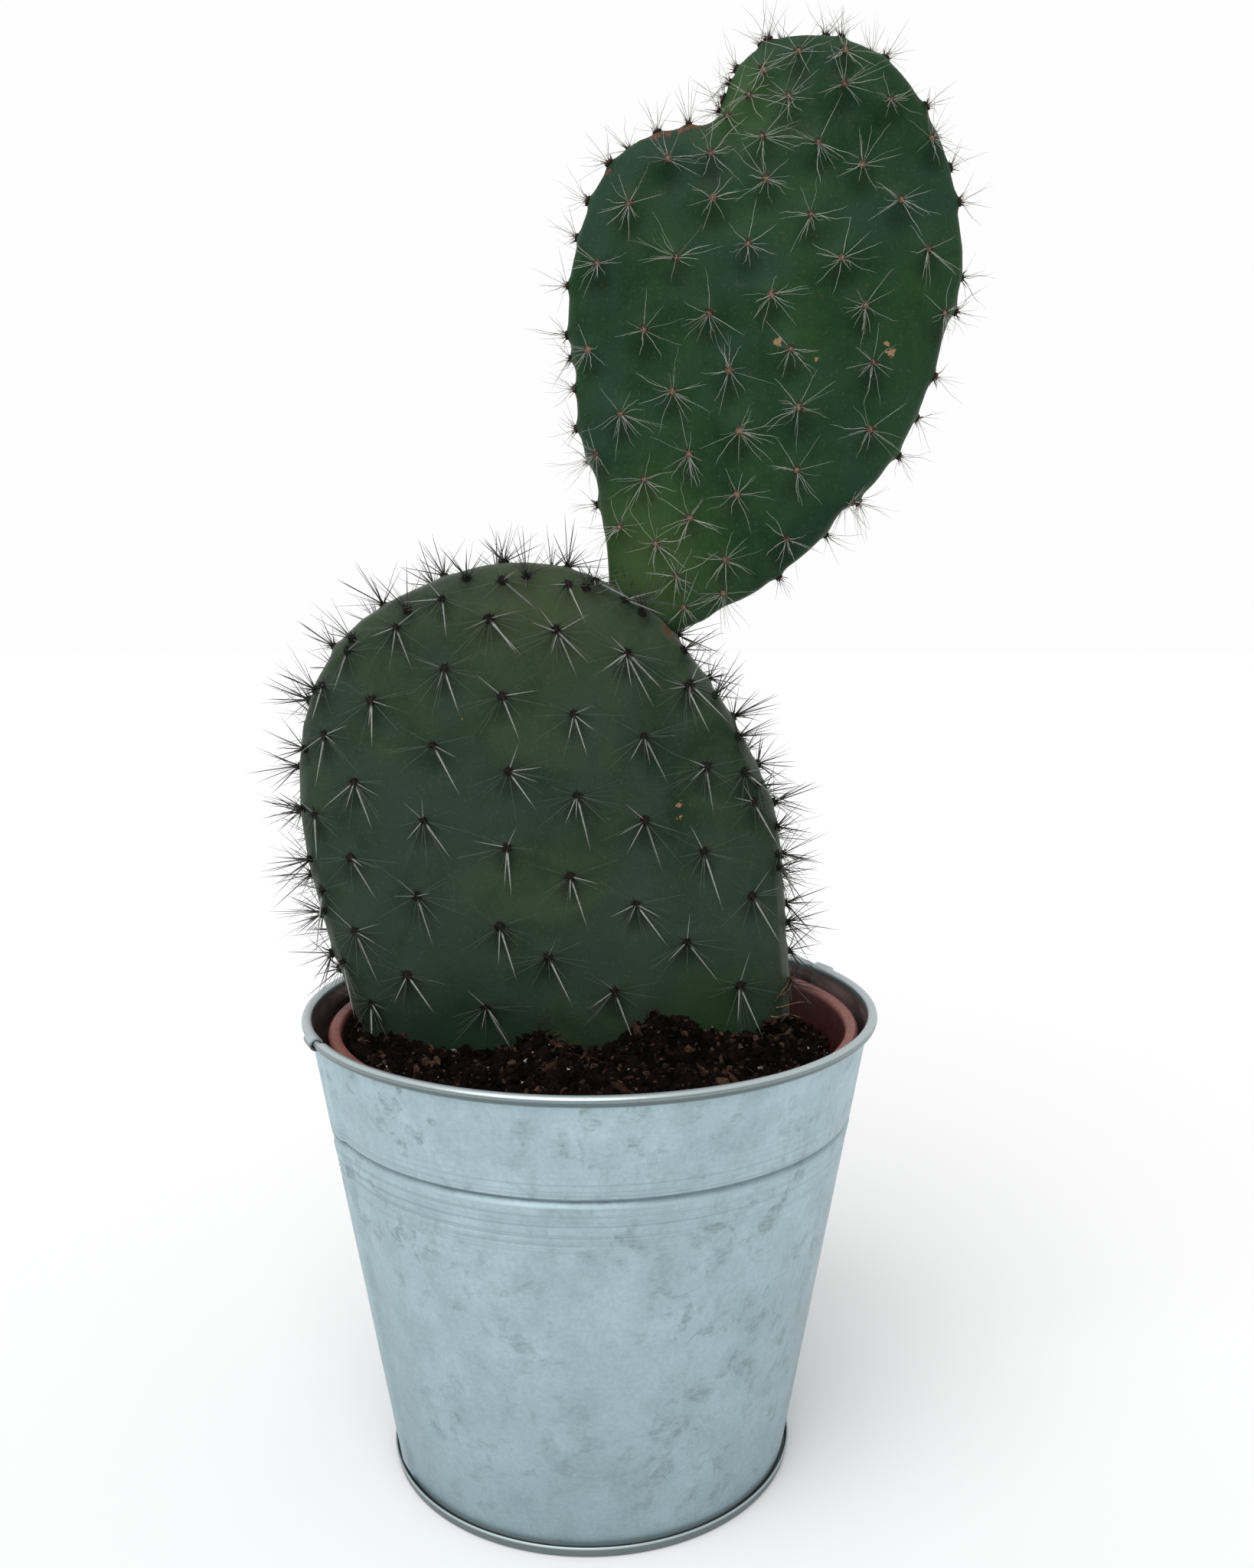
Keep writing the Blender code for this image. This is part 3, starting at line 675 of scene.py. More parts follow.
def patch_near():
    """A mask that is 1 within Core of a Place and falls to 0 at Edge, with a ragged outline."""
    inputs = {"place": ["Place"], "value": ["Core", "Edge", "Ragged"]}
    tree, given, out = new_group("patch_near", inputs, {"value": ["Mask"]})
    where = object_place(tree)
    away = add(tree, "ShaderNodeVectorMath", {0: where, 1: given["Place"]}, operation="DISTANCE")
    torn = sum_of(tree, "SUBTRACT", noise_of(tree, where, 900.0, 4.0, 0.6), 0.5)
    away = sum_of(tree, "MULTIPLY_ADD", torn, given["Ragged"], away.outputs["Value"])
    fade = spread_over(tree, away, given["Core"], given["Edge"], 1.0, 0.0, interpolation_type="SMOOTHSTEP")
    tree.links.new(fade, out.inputs["Mask"])
    return tree


def waxy_mottle():
    """The skin's colour: green clouds, a bluish bloom in patches, painted shade in the hollows under the
    areoles, paler edges from painted sheen and fine pores. It also gives the bloom's mask and the skin's
    fine relief."""
    inputs = {"colour": ["Deep", "Light", "Bloom", "Edge", "Pores"], "value": ["Edge Share"]}
    outputs = {"colour": ["Color"], "value": ["Dull"], "place": ["Relief"]}
    tree, given, out = new_group("waxy_mottle", inputs, outputs)
    where = object_place(tree)
    clouds = noise_of(tree, where, 42.0, 6.0, 0.66, 0.4)
    bloom = noise_of(tree, where, 27.0, 5.0, 0.60, 0.8)
    pores = noise_of(tree, where, 1500.0, 3.0, 0.6)
    tone = mix(tree, greys(tree, clouds, (0.37, 0.0), (0.63, 1.0)), given["Deep"], given["Light"])
    tone = mix(tree, greys(tree, bloom, (0.45, 0.0), (0.60, 0.85)), tone, given["Bloom"])
    # Painted sheen: the pad's edges pale, as if lit at a glancing angle.
    rim = greys(tree, kept_value(tree, "edge"), (0.22, 0.0), (0.66, 1.0))
    tone = mix(tree, times(tree, rim, given["Edge Share"]), tone, given["Edge"])
    # Painted shade in the sunken skin just below each areole.
    hollow_shade = greys(tree, kept_value(tree, "hollow_shade"), (0.25, 0.0), (1.0, 0.5))
    tone = mix(tree, hollow_shade, tone, tinted(tree, given["Deep"], grey(0.4)))
    tone = mix(tree, greys(tree, pores, (0.58, 0.0), (0.76, 0.16)), tone, given["Pores"])
    fine = bump_of(tree, pores, 0.0003, 0.25)
    tree.links.new(tone, out.inputs["Color"])
    tree.links.new(greys(tree, bloom, (0.4, 0.0), (0.66, 1.0)), out.inputs["Dull"])
    tree.links.new(bump_of(tree, clouds, 0.0012, 0.3, fine), out.inputs["Relief"])
    return tree


PATCH_NEAR, WAXY_MOTTLE = patch_near(), waxy_mottle()
CORK, BROWN_CORK = (0.25, 0.155, 0.085), (0.105, 0.048, 0.030)


def on_plant(across, up, depth):
    """A point on the plant, from the soil's level on the bucket's axis."""
    return (axis.x + across, depth, soil_level + up)


def cactus_skin(name, deep, light, bloom, edge, edge_sheen_share, roughness, cork_spots, flushes):
    """Waxy skin with corky spots and yellower flushes, each as across, up, depth, size and colour."""
    material, tree, shader, _ = new_finish(name, roughness, Specular_IOR_Level=0.10)
    colours = {"Deep": deep, "Light": light, "Bloom": bloom, "Edge": edge, "Pores": CORK}
    mottle = apply_group(tree, WAXY_MOTTLE, **colours, **{"Edge Share": edge_sheen_share})
    tone = mottle["Color"]
    for across, up, depth, reach, flush in flushes:
        size = {"Edge": reach, "Ragged": reach * 0.6}
        mask = apply_group(tree, PATCH_NEAR, Place=on_plant(across, up, depth), **size)["Mask"]
        tone = mix(tree, times(tree, mask, 0.8), tone, flush)
    for across, up, depth, reach, cork in cork_spots:
        size = {"Core": reach * 0.9, "Edge": reach * 1.1, "Ragged": reach * 4.0}
        mask = apply_group(tree, PATCH_NEAR, Place=on_plant(across, up, depth), **size)["Mask"]
        tone = mix(tree, mask, tone, cork)
    tree.links.new(tone, shader.inputs["Base Color"])
    gloss = mix(tree, mottle["Dull"], grey(roughness - 0.06), grey(roughness + 0.14))
    tree.links.new(gloss, shader.inputs["Roughness"])
    tree.links.new(mottle["Relief"], shader.inputs["Normal"])
    return material


PAD_VOXEL = 0.0011
LOWER_MIDDLE = Vector(on_plant(-0.009, 0.0445, 0.006))
UPPER_MIDDLE = Vector(on_plant(0.043, 0.1715, 0.0065))
CAD_LOWER = [name for name in sorted(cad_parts) if name.startswith("lower_spines")]
CAD_RIM = [name for name in sorted(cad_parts) if name.startswith("upper_rim_spines")]

lower_pad = close_copy("lower_pad", PAD_VOXEL, 4)
undulate(lower_pad, 0.0004, 45)
lower_skin_before = surface_of(lower_pad)


def root_of(node, skin):
    """Where a CAD spine cluster grows from: the skin nearest to its lowest points."""
    points = [vertex.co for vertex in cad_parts[node].data.vertices]
    near = sorted(skin.find_nearest(point)[3] for point in points)[len(points) // 4]
    feet = [point for point in points if skin.find_nearest(point)[3] <= near]
    middle = sum(feet, Vector()) / len(feet)
    spot, normal, _, _ = skin.find_nearest(middle)
    return spot, normal


wander = random.Random(4)
LOWER_TOP_ROWS = [
    ((-0.0638, 0.0891), (-0.0579, 0.0972), (-0.0457, 0.1027), 3),
    ((-0.0355, 0.1089), (-0.028, 0.112), (-0.021, 0.1139), 2),
    ((-0.0053, 0.1129), (0.0015, 0.114), (0.0087, 0.1085), 3),
    ((-0.0242, 0.1044), (-0.008, 0.102), (0.0087, 0.0963), 3),
    ((0.0235, 0.0885), (0.037, 0.068), (0.0459, 0.0467), 3),
]
LOWER_BACK_ROWS = [
    ((-0.052, 0.094), (-0.062, 0.060), (-0.050, 0.028), 4),
    ((-0.038, 0.104), (-0.047, 0.064), (-0.039, 0.018), 6),
    ((-0.022, 0.109), (-0.030, 0.066), (-0.026, 0.014), 6),
    ((-0.006, 0.108), (-0.011, 0.068), (-0.012, 0.012), 7),
    ((0.010, 0.104), (0.008, 0.066), (0.003, 0.012), 6),
    ((0.024, 0.094), (0.027, 0.060), (0.018, 0.014), 6),
    ((0.038, 0.078), (0.043, 0.050), (0.034, 0.020), 4),
]
lower_front = [root_of(node, lower_skin_before) for node in CAD_LOWER]
lower_front += face_spots(lower_skin_before, LOWER_TOP_ROWS, True, wander, 0.0006)
lower_back = face_spots(lower_skin_before, LOWER_BACK_ROWS, False, wander, 0.0012)
lower_rim = rim_spots(lower_skin_before, LOWER_MIDDLE, range(-26, 210, 4), 0.0060, wander)
lower_rim = [spot for spot in lower_rim if spot[0].z > soil_level + 0.012]
swell_under(lower_pad, lower_front + lower_back, 0.0006, 0.0032, 0.0004)
swell_under(lower_pad, lower_rim, 0.0006, 0.0022, 0.0002)
bpy.ops.object.shade_smooth()

upper_pad = close_copy("upper_pad", PAD_VOXEL, 4)
undulate(upper_pad, 0.0003, 50)
upper_skin_before = surface_of(upper_pad)
UPPER_ROWS = [
    ((-0.0002, 0.1678), (0.0107, 0.1448), (0.0161, 0.1223), 4),
    ((0.0020, 0.1438), (0.0050, 0.1350), (0.0075, 0.1267), 2),
    ((0.0022, 0.1866), (0.0220, 0.1504), (0.0211, 0.1145), 6),
    ((0.0095, 0.1998), (0.0330, 0.1621), (0.0323, 0.1186), 7),
    ((0.0185, 0.2103), (0.0452, 0.1740), (0.0471, 0.1241), 8),
    ((0.0284, 0.2110), (0.0621, 0.1830), (0.0631, 0.1329), 8),
    ((0.0401, 0.2146), (0.0682, 0.2053), (0.0840, 0.1761), 6),
    ((0.0462, 0.2238), (0.0645, 0.2261), (0.0798, 0.2153), 4),
    ((0.0481, 0.2338), (0.0537, 0.2347), (0.0593, 0.2348), 2),
    ((0.0401, 0.2301), (0.0371, 0.2248), (0.0326, 0.2200), 3),
    ((0.0226, 0.1072), (0.0275, 0.1088), (0.0324, 0.1103), 2),
]
upper_front = face_spots(upper_skin_before, UPPER_ROWS, True, wander, 0.0004)
upper_back = face_spots(upper_skin_before, UPPER_ROWS, False, wander, 0.0018)
UPPER_RIM = (
    -166, -154, -136, -122, -86, -73, -61, -42, -27, -14, 8, 17, 35, 43, 50, 56, 67, 70, 76, 80, 87,
    91, 93, 96, 99, 101, 103, 113, 121, 128, 135, 145, 154, 167, 179, 186,
)
upper_rim = rim_spots(upper_skin_before, UPPER_MIDDLE, UPPER_RIM, 0.0016, wander)
swell_under(upper_pad, upper_front + upper_back, 0.0011, 0.0036, 0.0008)
swell_under(upper_pad, upper_rim, 0.0009, 0.0022, 0.0002)

# The joint between the pads: the young pad's foot runs on into the old pad's edge.
JOINT_REACH, JOINT_PULL = 0.006, 0.0030
points = points_of(upper_pad)
for index, point in enumerate(points):
    spot, _, _, distance = lower_skin_before.find_nearest(Vector(point))
    if distance < JOINT_REACH:
        share = 1 - distance / JOINT_REACH
        inwards = (spot - Vector(point)).normalized()
        points[index] += np.array(inwards) * (JOINT_PULL * share * share)
move_points(upper_pad, points)
bpy.ops.object.shade_smooth()

# The edge values mark where the painted sheen on the pads' edges goes.
for pad in (lower_pad, upper_pad):
    keep_values(pad, "edge", 1 - np.abs(normals_of(pad)[:, 1]))
OLD_CORKY_SPOTS = [
    (0.0215, 0.0600, -0.006, 0.0009, CORK), (0.0215, 0.0570, -0.006, 0.0008, CORK),
    (-0.0311, 0.0808, -0.006, 0.0007, CORK), (-0.0469, 0.0849, -0.006, 0.0006, CORK),
    (0.0200, 0.1030, 0.001, 0.0024, BROWN_CORK), (0.0130, 0.1090, 0.002, 0.0016, BROWN_CORK),
]
OLD_FLUSHES = [
    (-0.010, 0.110, -0.004, 0.034, (0.042, 0.064, 0.026)),
    (0.030, 0.010, -0.010, 0.020, (0.020, 0.045, 0.017)),
    (-0.030, 0.000, -0.010, 0.030, (0.010, 0.026, 0.012)),
]
# In both skins, the pale edge colour and its share are painted sheen on the pads' edges.
old_skin = cactus_skin(
    "old_pad_skin", (0.0103, 0.0268, 0.0119), (0.0295, 0.0520, 0.0262), (0.0240, 0.0430, 0.0320),
    (0.105, 0.122, 0.100), 0.75, 0.46, OLD_CORKY_SPOTS, OLD_FLUSHES,
)
YOUNG_CORKY_SPOTS = [
    (0.0442, 0.1690, -0.001, 0.0010, CORK), (0.0536, 0.1652, -0.001, 0.0005, CORK),
    (0.0710, 0.1669, -0.001, 0.0009, CORK), (0.0701, 0.1690, -0.001, 0.0007, CORK),
    (0.0157, 0.2165, 0.003, 0.0014, BROWN_CORK), (0.0185, 0.2175, 0.003, 0.0015, BROWN_CORK),
    (0.0216, 0.2183, 0.003, 0.0015, BROWN_CORK), (0.0246, 0.2190, 0.003, 0.0015, BROWN_CORK),
    (0.0275, 0.2197, 0.003, 0.0014, BROWN_CORK), (0.0040, 0.2085, 0.003, 0.0013, BROWN_CORK),
]
YOUNG_FLUSHES = [
    (0.012, 0.118, 0.000, 0.030, (0.040, 0.080, 0.022)),
    (0.034, 0.224, 0.000, 0.020, (0.036, 0.080, 0.022)),
]
young_skin = cactus_skin(
    "young_pad_skin", (0.0048, 0.0265, 0.0074), (0.0170, 0.0500, 0.0165), (0.0140, 0.0395, 0.0245),
    (0.040, 0.080, 0.038), 0.25, 0.42, YOUNG_CORKY_SPOTS, YOUNG_FLUSHES,
)
finish_piece(lower_pad, "old_pad", old_skin, ["lower_pad"])
finish_piece(upper_pad, "young_pad", young_skin, ["upper_pad"])

# Areoles and spines. Each areole is a small felted cushion. On the old pad it is nearly black and
# holds one stout pale spine that hangs down among thin bristles; on the young pad it is tan with
# a star of thin, wandering, whitish spines. Glochids make a short fuzz on both.


def grown(sides, stations):
    """A small solid drawn up from a disc through (radius, height, aside) stations, as a mesh."""
    bpy.ops.object.select_all(action="DESELECT")
    radius, height, aside = stations[0]
    start = (aside, 0, height)
    bpy.ops.mesh.primitive_circle_add(vertices=sides, radius=radius, fill_type="NGON", location=start)
    piece = bpy.context.object
    bpy.ops.object.transform_apply(location=True, rotation=False, scale=False)
    bpy.ops.object.mode_set(mode="EDIT")
    bpy.ops.mesh.select_all(action="SELECT")
    for (radius, height, aside), (next_radius, next_height, next_aside) in zip(stations, stations[1:]):
        step = (next_aside - aside, 0, next_height - height)
        bpy.ops.mesh.extrude_region_move(TRANSFORM_OT_translate={"value": step})
        share = next_radius / radius
        bpy.ops.transform.resize(value=(share, share, 1), center_override=(next_aside, 0, next_height))
    bpy.ops.mesh.select_all(action="SELECT")
    bpy.ops.mesh.normals_make_consistent(inside=False)
    bpy.ops.object.mode_set(mode="OBJECT")
    mesh = piece.data
    bpy.data.objects.remove(piece)
    return mesh


THORN = grown(6, [(0.8, -0.03, 0), (1.0, 0.04, 0), (0.78, 0.35, 0.01), (0.45, 0.75, 0), (0.08, 1.0, 0)])
BRISTLE = grown(
    4, [(1.0, -0.02, 0), (0.9, 0.25, 0.3), (0.75, 0.5, 0.8), (0.5, 0.78, 1.4), (0.15, 1.0, 1.8)]
)
HAIR_TAPER = ((1.0, -0.02), (0.95, 0.2), (0.85, 0.42), (0.7, 0.62), (0.5, 0.82), (0.15, 1.0))
HAIRS = [
    grown(3, [(*level, aside) for level, aside in zip(HAIR_TAPER, sway)])
    for sway in ((0, 2, 3, 9, 12, 22), (0, -3, 3, 4, -3, -5))
]
SHORT_HAIR = [(1.0, -0.02, 0), (0.95, 0.25, 1), (0.8, 0.5, 4), (0.6, 0.75, 3), (0.15, 1.0, 8)]
HAIRS.append(grown(3, SHORT_HAIR))
FUZZ = grown(3, [(1.0, 0.0, 0), (0.6, 0.6, 0), (0.1, 1.0, 0)])
CUSHION = grown(9, [(0.85, -0.5, 0), (1.0, 0.0, 0), (0.95, 0.3, 0), (0.72, 0.62, 0), (0.3, 0.85, 0)])


def frame_at(spot, normal):
    """Axes on the skin: outwards is the normal, and up runs up the skin (or back, on top of a rim)."""
    up = Vector((0, 0, 1)) - normal * normal.z
    if up.length < 0.35:
        up = Vector((0, 1, 0)) - normal * normal.y
    up.normalize()
    across = up.cross(normal)
    return Matrix((
        (across.x, up.x, normal.x, spot.x), (across.y, up.y, normal.y, spot.y),
        (across.z, up.z, normal.z, spot.z), (0, 0, 0, 1),
    ))


def placed(seat, around_areole, lean, length, width, roll, start=(0, 0, 0)):
    """A spine on its seat: turned round the areole (0 is right, 90 up) and leaned out of the normal."""
    turn = Matrix.Rotation(math.radians(around_areole), 4, "Z")
    turn = turn @ Matrix.Rotation(math.radians(lean), 4, "Y")
    size = Matrix.Diagonal((width, width, length, 1))
    return seat @ Matrix.Translation(start) @ turn @ Matrix.Rotation(roll, 4, "Z") @ size


def gathered(copies, draw, smooth=True):
    """One mesh out of many placed copies, which remembers how far along its copy each point lies."""
    corners, faces, along, shade = [], [], [], []
    for mesh, place in copies:
        first = len(corners)
        own = draw.random()
        for vertex in mesh.vertices:
            corners.append(place @ vertex.co)
            along.append(min(1.0, max(0.0, vertex.co.z)))
            shade.append(own)
        faces += [[first + corner for corner in face.vertices] for face in mesh.polygons]
    data = bpy.data.meshes.new("gathered")
    data.from_pydata(corners, [], faces)
    data.polygons.foreach_set("use_smooth", [smooth] * len(faces))
    piece = bpy.data.objects.new("gathered", data)
    keep_values(piece, "along", along)
    keep_values(piece, "shade", shade)
    bpy.context.scene.collection.objects.link(piece)
    return piece


def growth_tone():
    """Colour that runs from Root to Shaft to Tip along each spine or felt cushion, with some of them
    dimmer than others, and its fine lengthwise relief."""
    inputs = {"colour": ["Root", "Shaft", "Tip"], "value": ["Root End", "Dimmest"]}
    tree, given, out = new_group("growth_tone", inputs, {"colour": ["Color"], "place": ["Relief"]})
    along = kept_value(tree, "along")
    rise = spread_over(tree, along, times(tree, given["Root End"], 0.6), given["Root End"])
    tone = mix(tree, rise, given["Root"], given["Shaft"])
    tone = mix(tree, greys(tree, along, (0.70, 0.0), (1.0, 1.0)), tone, given["Tip"])
    tone = tinted(tree, tone, spread_over(tree, kept_value(tree, "shade"), 0.0, 0.6, given["Dimmest"]))
    streaks = noise_of(tree, object_place(tree), 1800.0, 2.0)
    tone = tinted(tree, tone, greys(tree, streaks, (0.40, 0.75), (0.66, 1.12)))
    tree.links.new(tone, out.inputs["Color"])
    tree.links.new(bump_of(tree, streaks, 0.0001, 0.3), out.inputs["Relief"])
    return tree


GROWTH_TONE = growth_tone()


def grown_finish(name, roughness, root, shaft, tip, root_end, dimmest):
    """Horn or felt with its own colours from root to tip."""
    material, tree, shader, _ = new_finish(name, roughness, Specular_IOR_Level=0.3)
    values = {"Root": root, "Shaft": shaft, "Tip": tip, "Root End": root_end, "Dimmest": dimmest}
    tone = apply_group(tree, GROWTH_TONE, **values)
    tree.links.new(tone["Color"], shader.inputs["Base Color"])
    tree.links.new(tone["Relief"], shader.inputs["Normal"])
    return material


horn = grown_finish(
    "stout_spine_horn", 0.45, (0.014, 0.010, 0.008),
    (0.27, 0.28, 0.26), (0.16, 0.145, 0.12), 0.17, 0.55,
)
# Painted shade: the old pad's rim spines take the face spines' horn, made darker as if seen against the
# light.
shaded_rim_horn = grown_finish(
    "shaded_rim_spine_horn", 0.45, (0.010, 0.009, 0.008),
    (0.060, 0.062, 0.058), (0.15, 0.155, 0.15), 0.15, 0.4,
)
bristle_horn = grown_finish(
    "bristle_horn", 0.4, (0.040, 0.048, 0.035),
    (0.085, 0.110, 0.085), (0.11, 0.14, 0.11), 0.2, 0.6,
)
young_horn = grown_finish(
    "young_spine_horn", 0.38, (0.21, 0.165, 0.12),
    (0.45, 0.47, 0.42), (0.55, 0.58, 0.53), 0.15, 0.5,
)
old_felt = grown_finish(
    "old_areole_felt", 0.95, (0.004, 0.003, 0.002),
    (0.007, 0.005, 0.004), (0.020, 0.014, 0.011), 0.1, 0.6,
)
young_felt = grown_finish(
    "young_areole_felt", 0.95, (0.045, 0.024, 0.014),
    (0.150, 0.100, 0.063), (0.33, 0.26, 0.19), 0.5, 0.55,
)
rim_felt = grown_finish(
    "rim_areole_felt", 0.95, (0.024, 0.010, 0.007),
    (0.075, 0.034, 0.023), (0.17, 0.095, 0.065), 0.5, 0.6,
)


GLOCHID_WIDTH = 0.00011
STOUT_WIDTH, LESSER_WIDTH, BRISTLE_WIDTH = 0.00029, 0.00019, 0.000075
LESSER_TURNS = [-155, -125, -95, -25, 15, 75, 130, 165]
BRISTLE_TURNS = [-172, -158, -140, -120, -100, -85, -50, -35, -20, -8, 6, 22, 150]


def cushion_copies(spots, size, fuzz_count, fuzz_length, draw):
    """A felted cushion at each areole, with a ring of short glochids standing in it."""
    copies = []
    for spot, normal in spots:
        seat = frame_at(spot, normal)
        wide = size * draw.uniform(0.8, 1.15)
        spin = Matrix.Rotation(draw.uniform(0, math.tau), 4, "Z")
        oval = Matrix.Diagonal((wide, wide * draw.uniform(0.8, 1.2), wide * 0.55, 1))
        copies.append((CUSHION, seat @ spin @ oval))
        for _ in range(fuzz_count):
            angle, out = draw.uniform(0, 360), draw.uniform(0.1, 0.9)
            across, up = math.cos(math.radians(angle)), math.sin(math.radians(angle))
            start = (wide * out * across, wide * out * up, 0)
            length = fuzz_length * draw.uniform(0.6, 1.3)
            turn, lean = angle + draw.uniform(-40, 40), 12 + 50 * out
            copies.append((FUZZ, placed(seat, turn, lean, length, GLOCHID_WIDTH, 0, start)))
    return copies


def old_face_spines(spots, draw):
    """Stout pale spines that hang down, and thin bristles, for the old pad's faces."""
    stout, bristles = [], []
    for spot, normal in spots:
        seat = frame_at(spot, normal)
        spin = draw.uniform(0, math.tau)
        side = draw.gauss(-66, 10)
        length = draw.uniform(0.0115, 0.0155)
        stout.append((THORN, placed(seat, side, draw.uniform(60, 74), length, STOUT_WIDTH, spin)))
        for angle in draw.sample(LESSER_TURNS, draw.randint(1, 3)):
            lean = draw.uniform(40, 72)
            turn, length = angle + draw.uniform(-12, 12), draw.uniform(0.006, 0.0105)
            stout.append((THORN, placed(seat, turn, lean, length, LESSER_WIDTH, spin)))
        for _ in range(draw.randint(9, 14)):
            turn = draw.choice(BRISTLE_TURNS) + draw.uniform(-11, 11)
            length, lean = draw.uniform(0.006, 0.0140), draw.uniform(64, 82)
            place = placed(seat, turn, lean, length, BRISTLE_WIDTH, draw.uniform(0, math.tau))
            bristles.append((BRISTLE, place))
    return stout, bristles


def spread_spines(spots, draw, count, length, width, lean, shapes, hanging=0.0):
    """Spines that stand out of their areoles to all sides, or with this share of them hanging down."""
    copies = []
    for spot, normal in spots:
        seat = frame_at(spot, normal)
        for _ in range(draw.randint(*count)):
            angle = draw.uniform(-195, 15) if draw.random() < hanging else draw.uniform(0, 360)
            place = placed(
                seat, angle, draw.uniform(*lean), draw.uniform(*length),
                width * draw.uniform(0.8, 1.2), draw.uniform(0, math.tau),
            )
            copies.append((draw.choice(shapes), place))
    return copies


def seated(spots, skin):
    """The same spots once the skin has been shaped, with the normals of the plain skin."""
    return [(skin.find_nearest(spot)[0], normal) for spot, normal in spots]


grow = random.Random(11)
lower_skin, upper_skin = surface_of(lower_pad), surface_of(upper_pad)
lower_front, lower_back = seated(lower_front, lower_skin), seated(lower_back, lower_skin)
upper_front, upper_back = seated(upper_front, upper_skin), seated(upper_back, upper_skin)
lower_rim, upper_rim = seated(lower_rim, lower_skin), seated(upper_rim, upper_skin)

for spots, side, nodes in ((lower_front, "front", CAD_LOWER), (lower_back, "back", [])):
    stout, bristles = old_face_spines(spots, grow)
    finish_piece(gathered(stout, grow), "old_spines_" + side, horn, nodes)
    finish_piece(gathered(bristles, grow), "old_bristles_" + side, bristle_horn)
rim = spread_spines(lower_rim, grow, (6, 10), (0.0045, 0.0135), 0.00017, (5, 70), [THORN])
rim += spread_spines(lower_rim, grow, (6, 9), (0.005, 0.0135), 0.00008, (15, 80), [BRISTLE])
finish_piece(gathered(rim, grow), "old_spines_rim", shaded_rim_horn)
cushions = cushion_copies(lower_front + lower_back + lower_rim, 0.00112, 12, 0.0017, grow)
finish_piece(gathered(cushions, grow), "old_areoles", old_felt)

for spots, name in ((upper_front, "young_spines_front"), (upper_back, "young_spines_back")):
    star = spread_spines(spots, grow, (12, 17), (0.0040, 0.0120), 0.000070, (40, 84), HAIRS, 0.45)
    finish_piece(gathered(star, grow), name, young_horn)
rim = spread_spines(upper_rim, grow, (7, 11), (0.004, 0.0105), 0.000072, (10, 80), HAIRS)
finish_piece(gathered(rim, grow), "young_spines_rim", young_horn, CAD_RIM)
cushions = cushion_copies(upper_front + upper_back, 0.00092, 18, 0.0014, grow)
finish_piece(gathered(cushions, grow), "young_areoles", young_felt)
cushions = cushion_copies(upper_rim, 0.0011, 14, 0.0019, grow)
finish_piece(gathered(cushions, grow), "young_rim_areoles", rim_felt)

# Soil. Dark peaty compost, heaped a little against the foot of the cactus, with crumbs, white perlite
# and bits of twig and bark lying on it.


def compost():
    """Peat: brown, fibrous lumps with near-black painted shade in the crevices between them."""
    material, tree, shader, where = new_finish("peaty_compost", 0.95, Specular_IOR_Level=0.06)
    grains = noise_of(tree, where, 900.0, 6.0, 0.7)
    patches = greys(tree, noise_of(tree, where, 190.0, 4.0), (0.45, 0.0), (0.65, 0.6))
    black, brown, tan = (0.0020, 0.0011, 0.0008), (0.0080, 0.0042, 0.0028), (0.034, 0.018, 0.010)
    tone = ramp(tree, grains, (0.40, black), (0.54, brown), (0.72, tan))
    tone = mix(tree, patches, tone, (0.0130, 0.0052, 0.0042))
    # Painted shade in the crevices between the lumps.
    hollow_shade = greys(tree, kept_value(tree, "hollow_shade"), (0.33, 0.0), (0.65, 1.0))
    tone = mix(tree, hollow_shade, tone, (0.0010, 0.0006, 0.0005))
    tree.links.new(tone, shader.inputs["Base Color"])
    tree.links.new(bump_of(tree, grains, 0.0008, 1.0), shader.inputs["Normal"])
    return material


SOIL_VOXEL = 0.0010
# Where compost is heaped on the old pad's face: across, up, how wide and how many crumbs.
HEAPS = (
    (-0.0600, 0.0045, 0.0035, 110), (-0.0470, 0.0025, 0.0040, 90), (-0.0125, 0.0040, 0.0030, 70),
    (0.0160, 0.0065, 0.0034, 240), (0.0240, 0.0030, 0.0035, 90), (0.0330, 0.0020, 0.0040, 70),
    (0.0450, 0.0050, 0.0045, 150),
)
soil = close_copy("potting_soil", SOIL_VOXEL, 1)
points, normals = points_of(soil), normals_of(soil)
hollow_shade = np.zeros(len(points))
for index, point in enumerate(points):
    if point[2] < soil_low.z + 0.05 or normals[index][2] < 0.3:
        continue
    top = min(1.0, (normals[index][2] - 0.3) / 0.4)
    place = Vector(point)
    warped = place + noise.noise_vector(place * 400) * 0.0009
    lump = noise.noise(place * 140) * 0.0014 + noise.noise(place * 60) * 0.0009
    clump = noise.voronoi(warped * 260)[0][0]
    fine = noise.voronoi(warped * 620)[0][0]
    lump += (0.35 - clump) * 0.0044 + (0.35 - fine) * 0.0018
    for across, up, wide, _ in HEAPS:
        far = Vector((place.x - axis.x - across, (place.y + 0.014) * 0.9)).length / (wide + 0.002)
        lump += (0.0010 + up) * 0.9 * math.exp(-far * far / 2)
    points[index][2] += lump * top
    # How deep in a crevice each point lies, for the compost's painted shade.
    hollow_shade[index] = clump * 0.65 + fine * 0.35
move_points(soil, points)
keep_values(soil, "hollow_shade", hollow_shade)
bpy.ops.object.shade_smooth()
finish_piece(soil, "compost", compost(), ["potting_soil"])


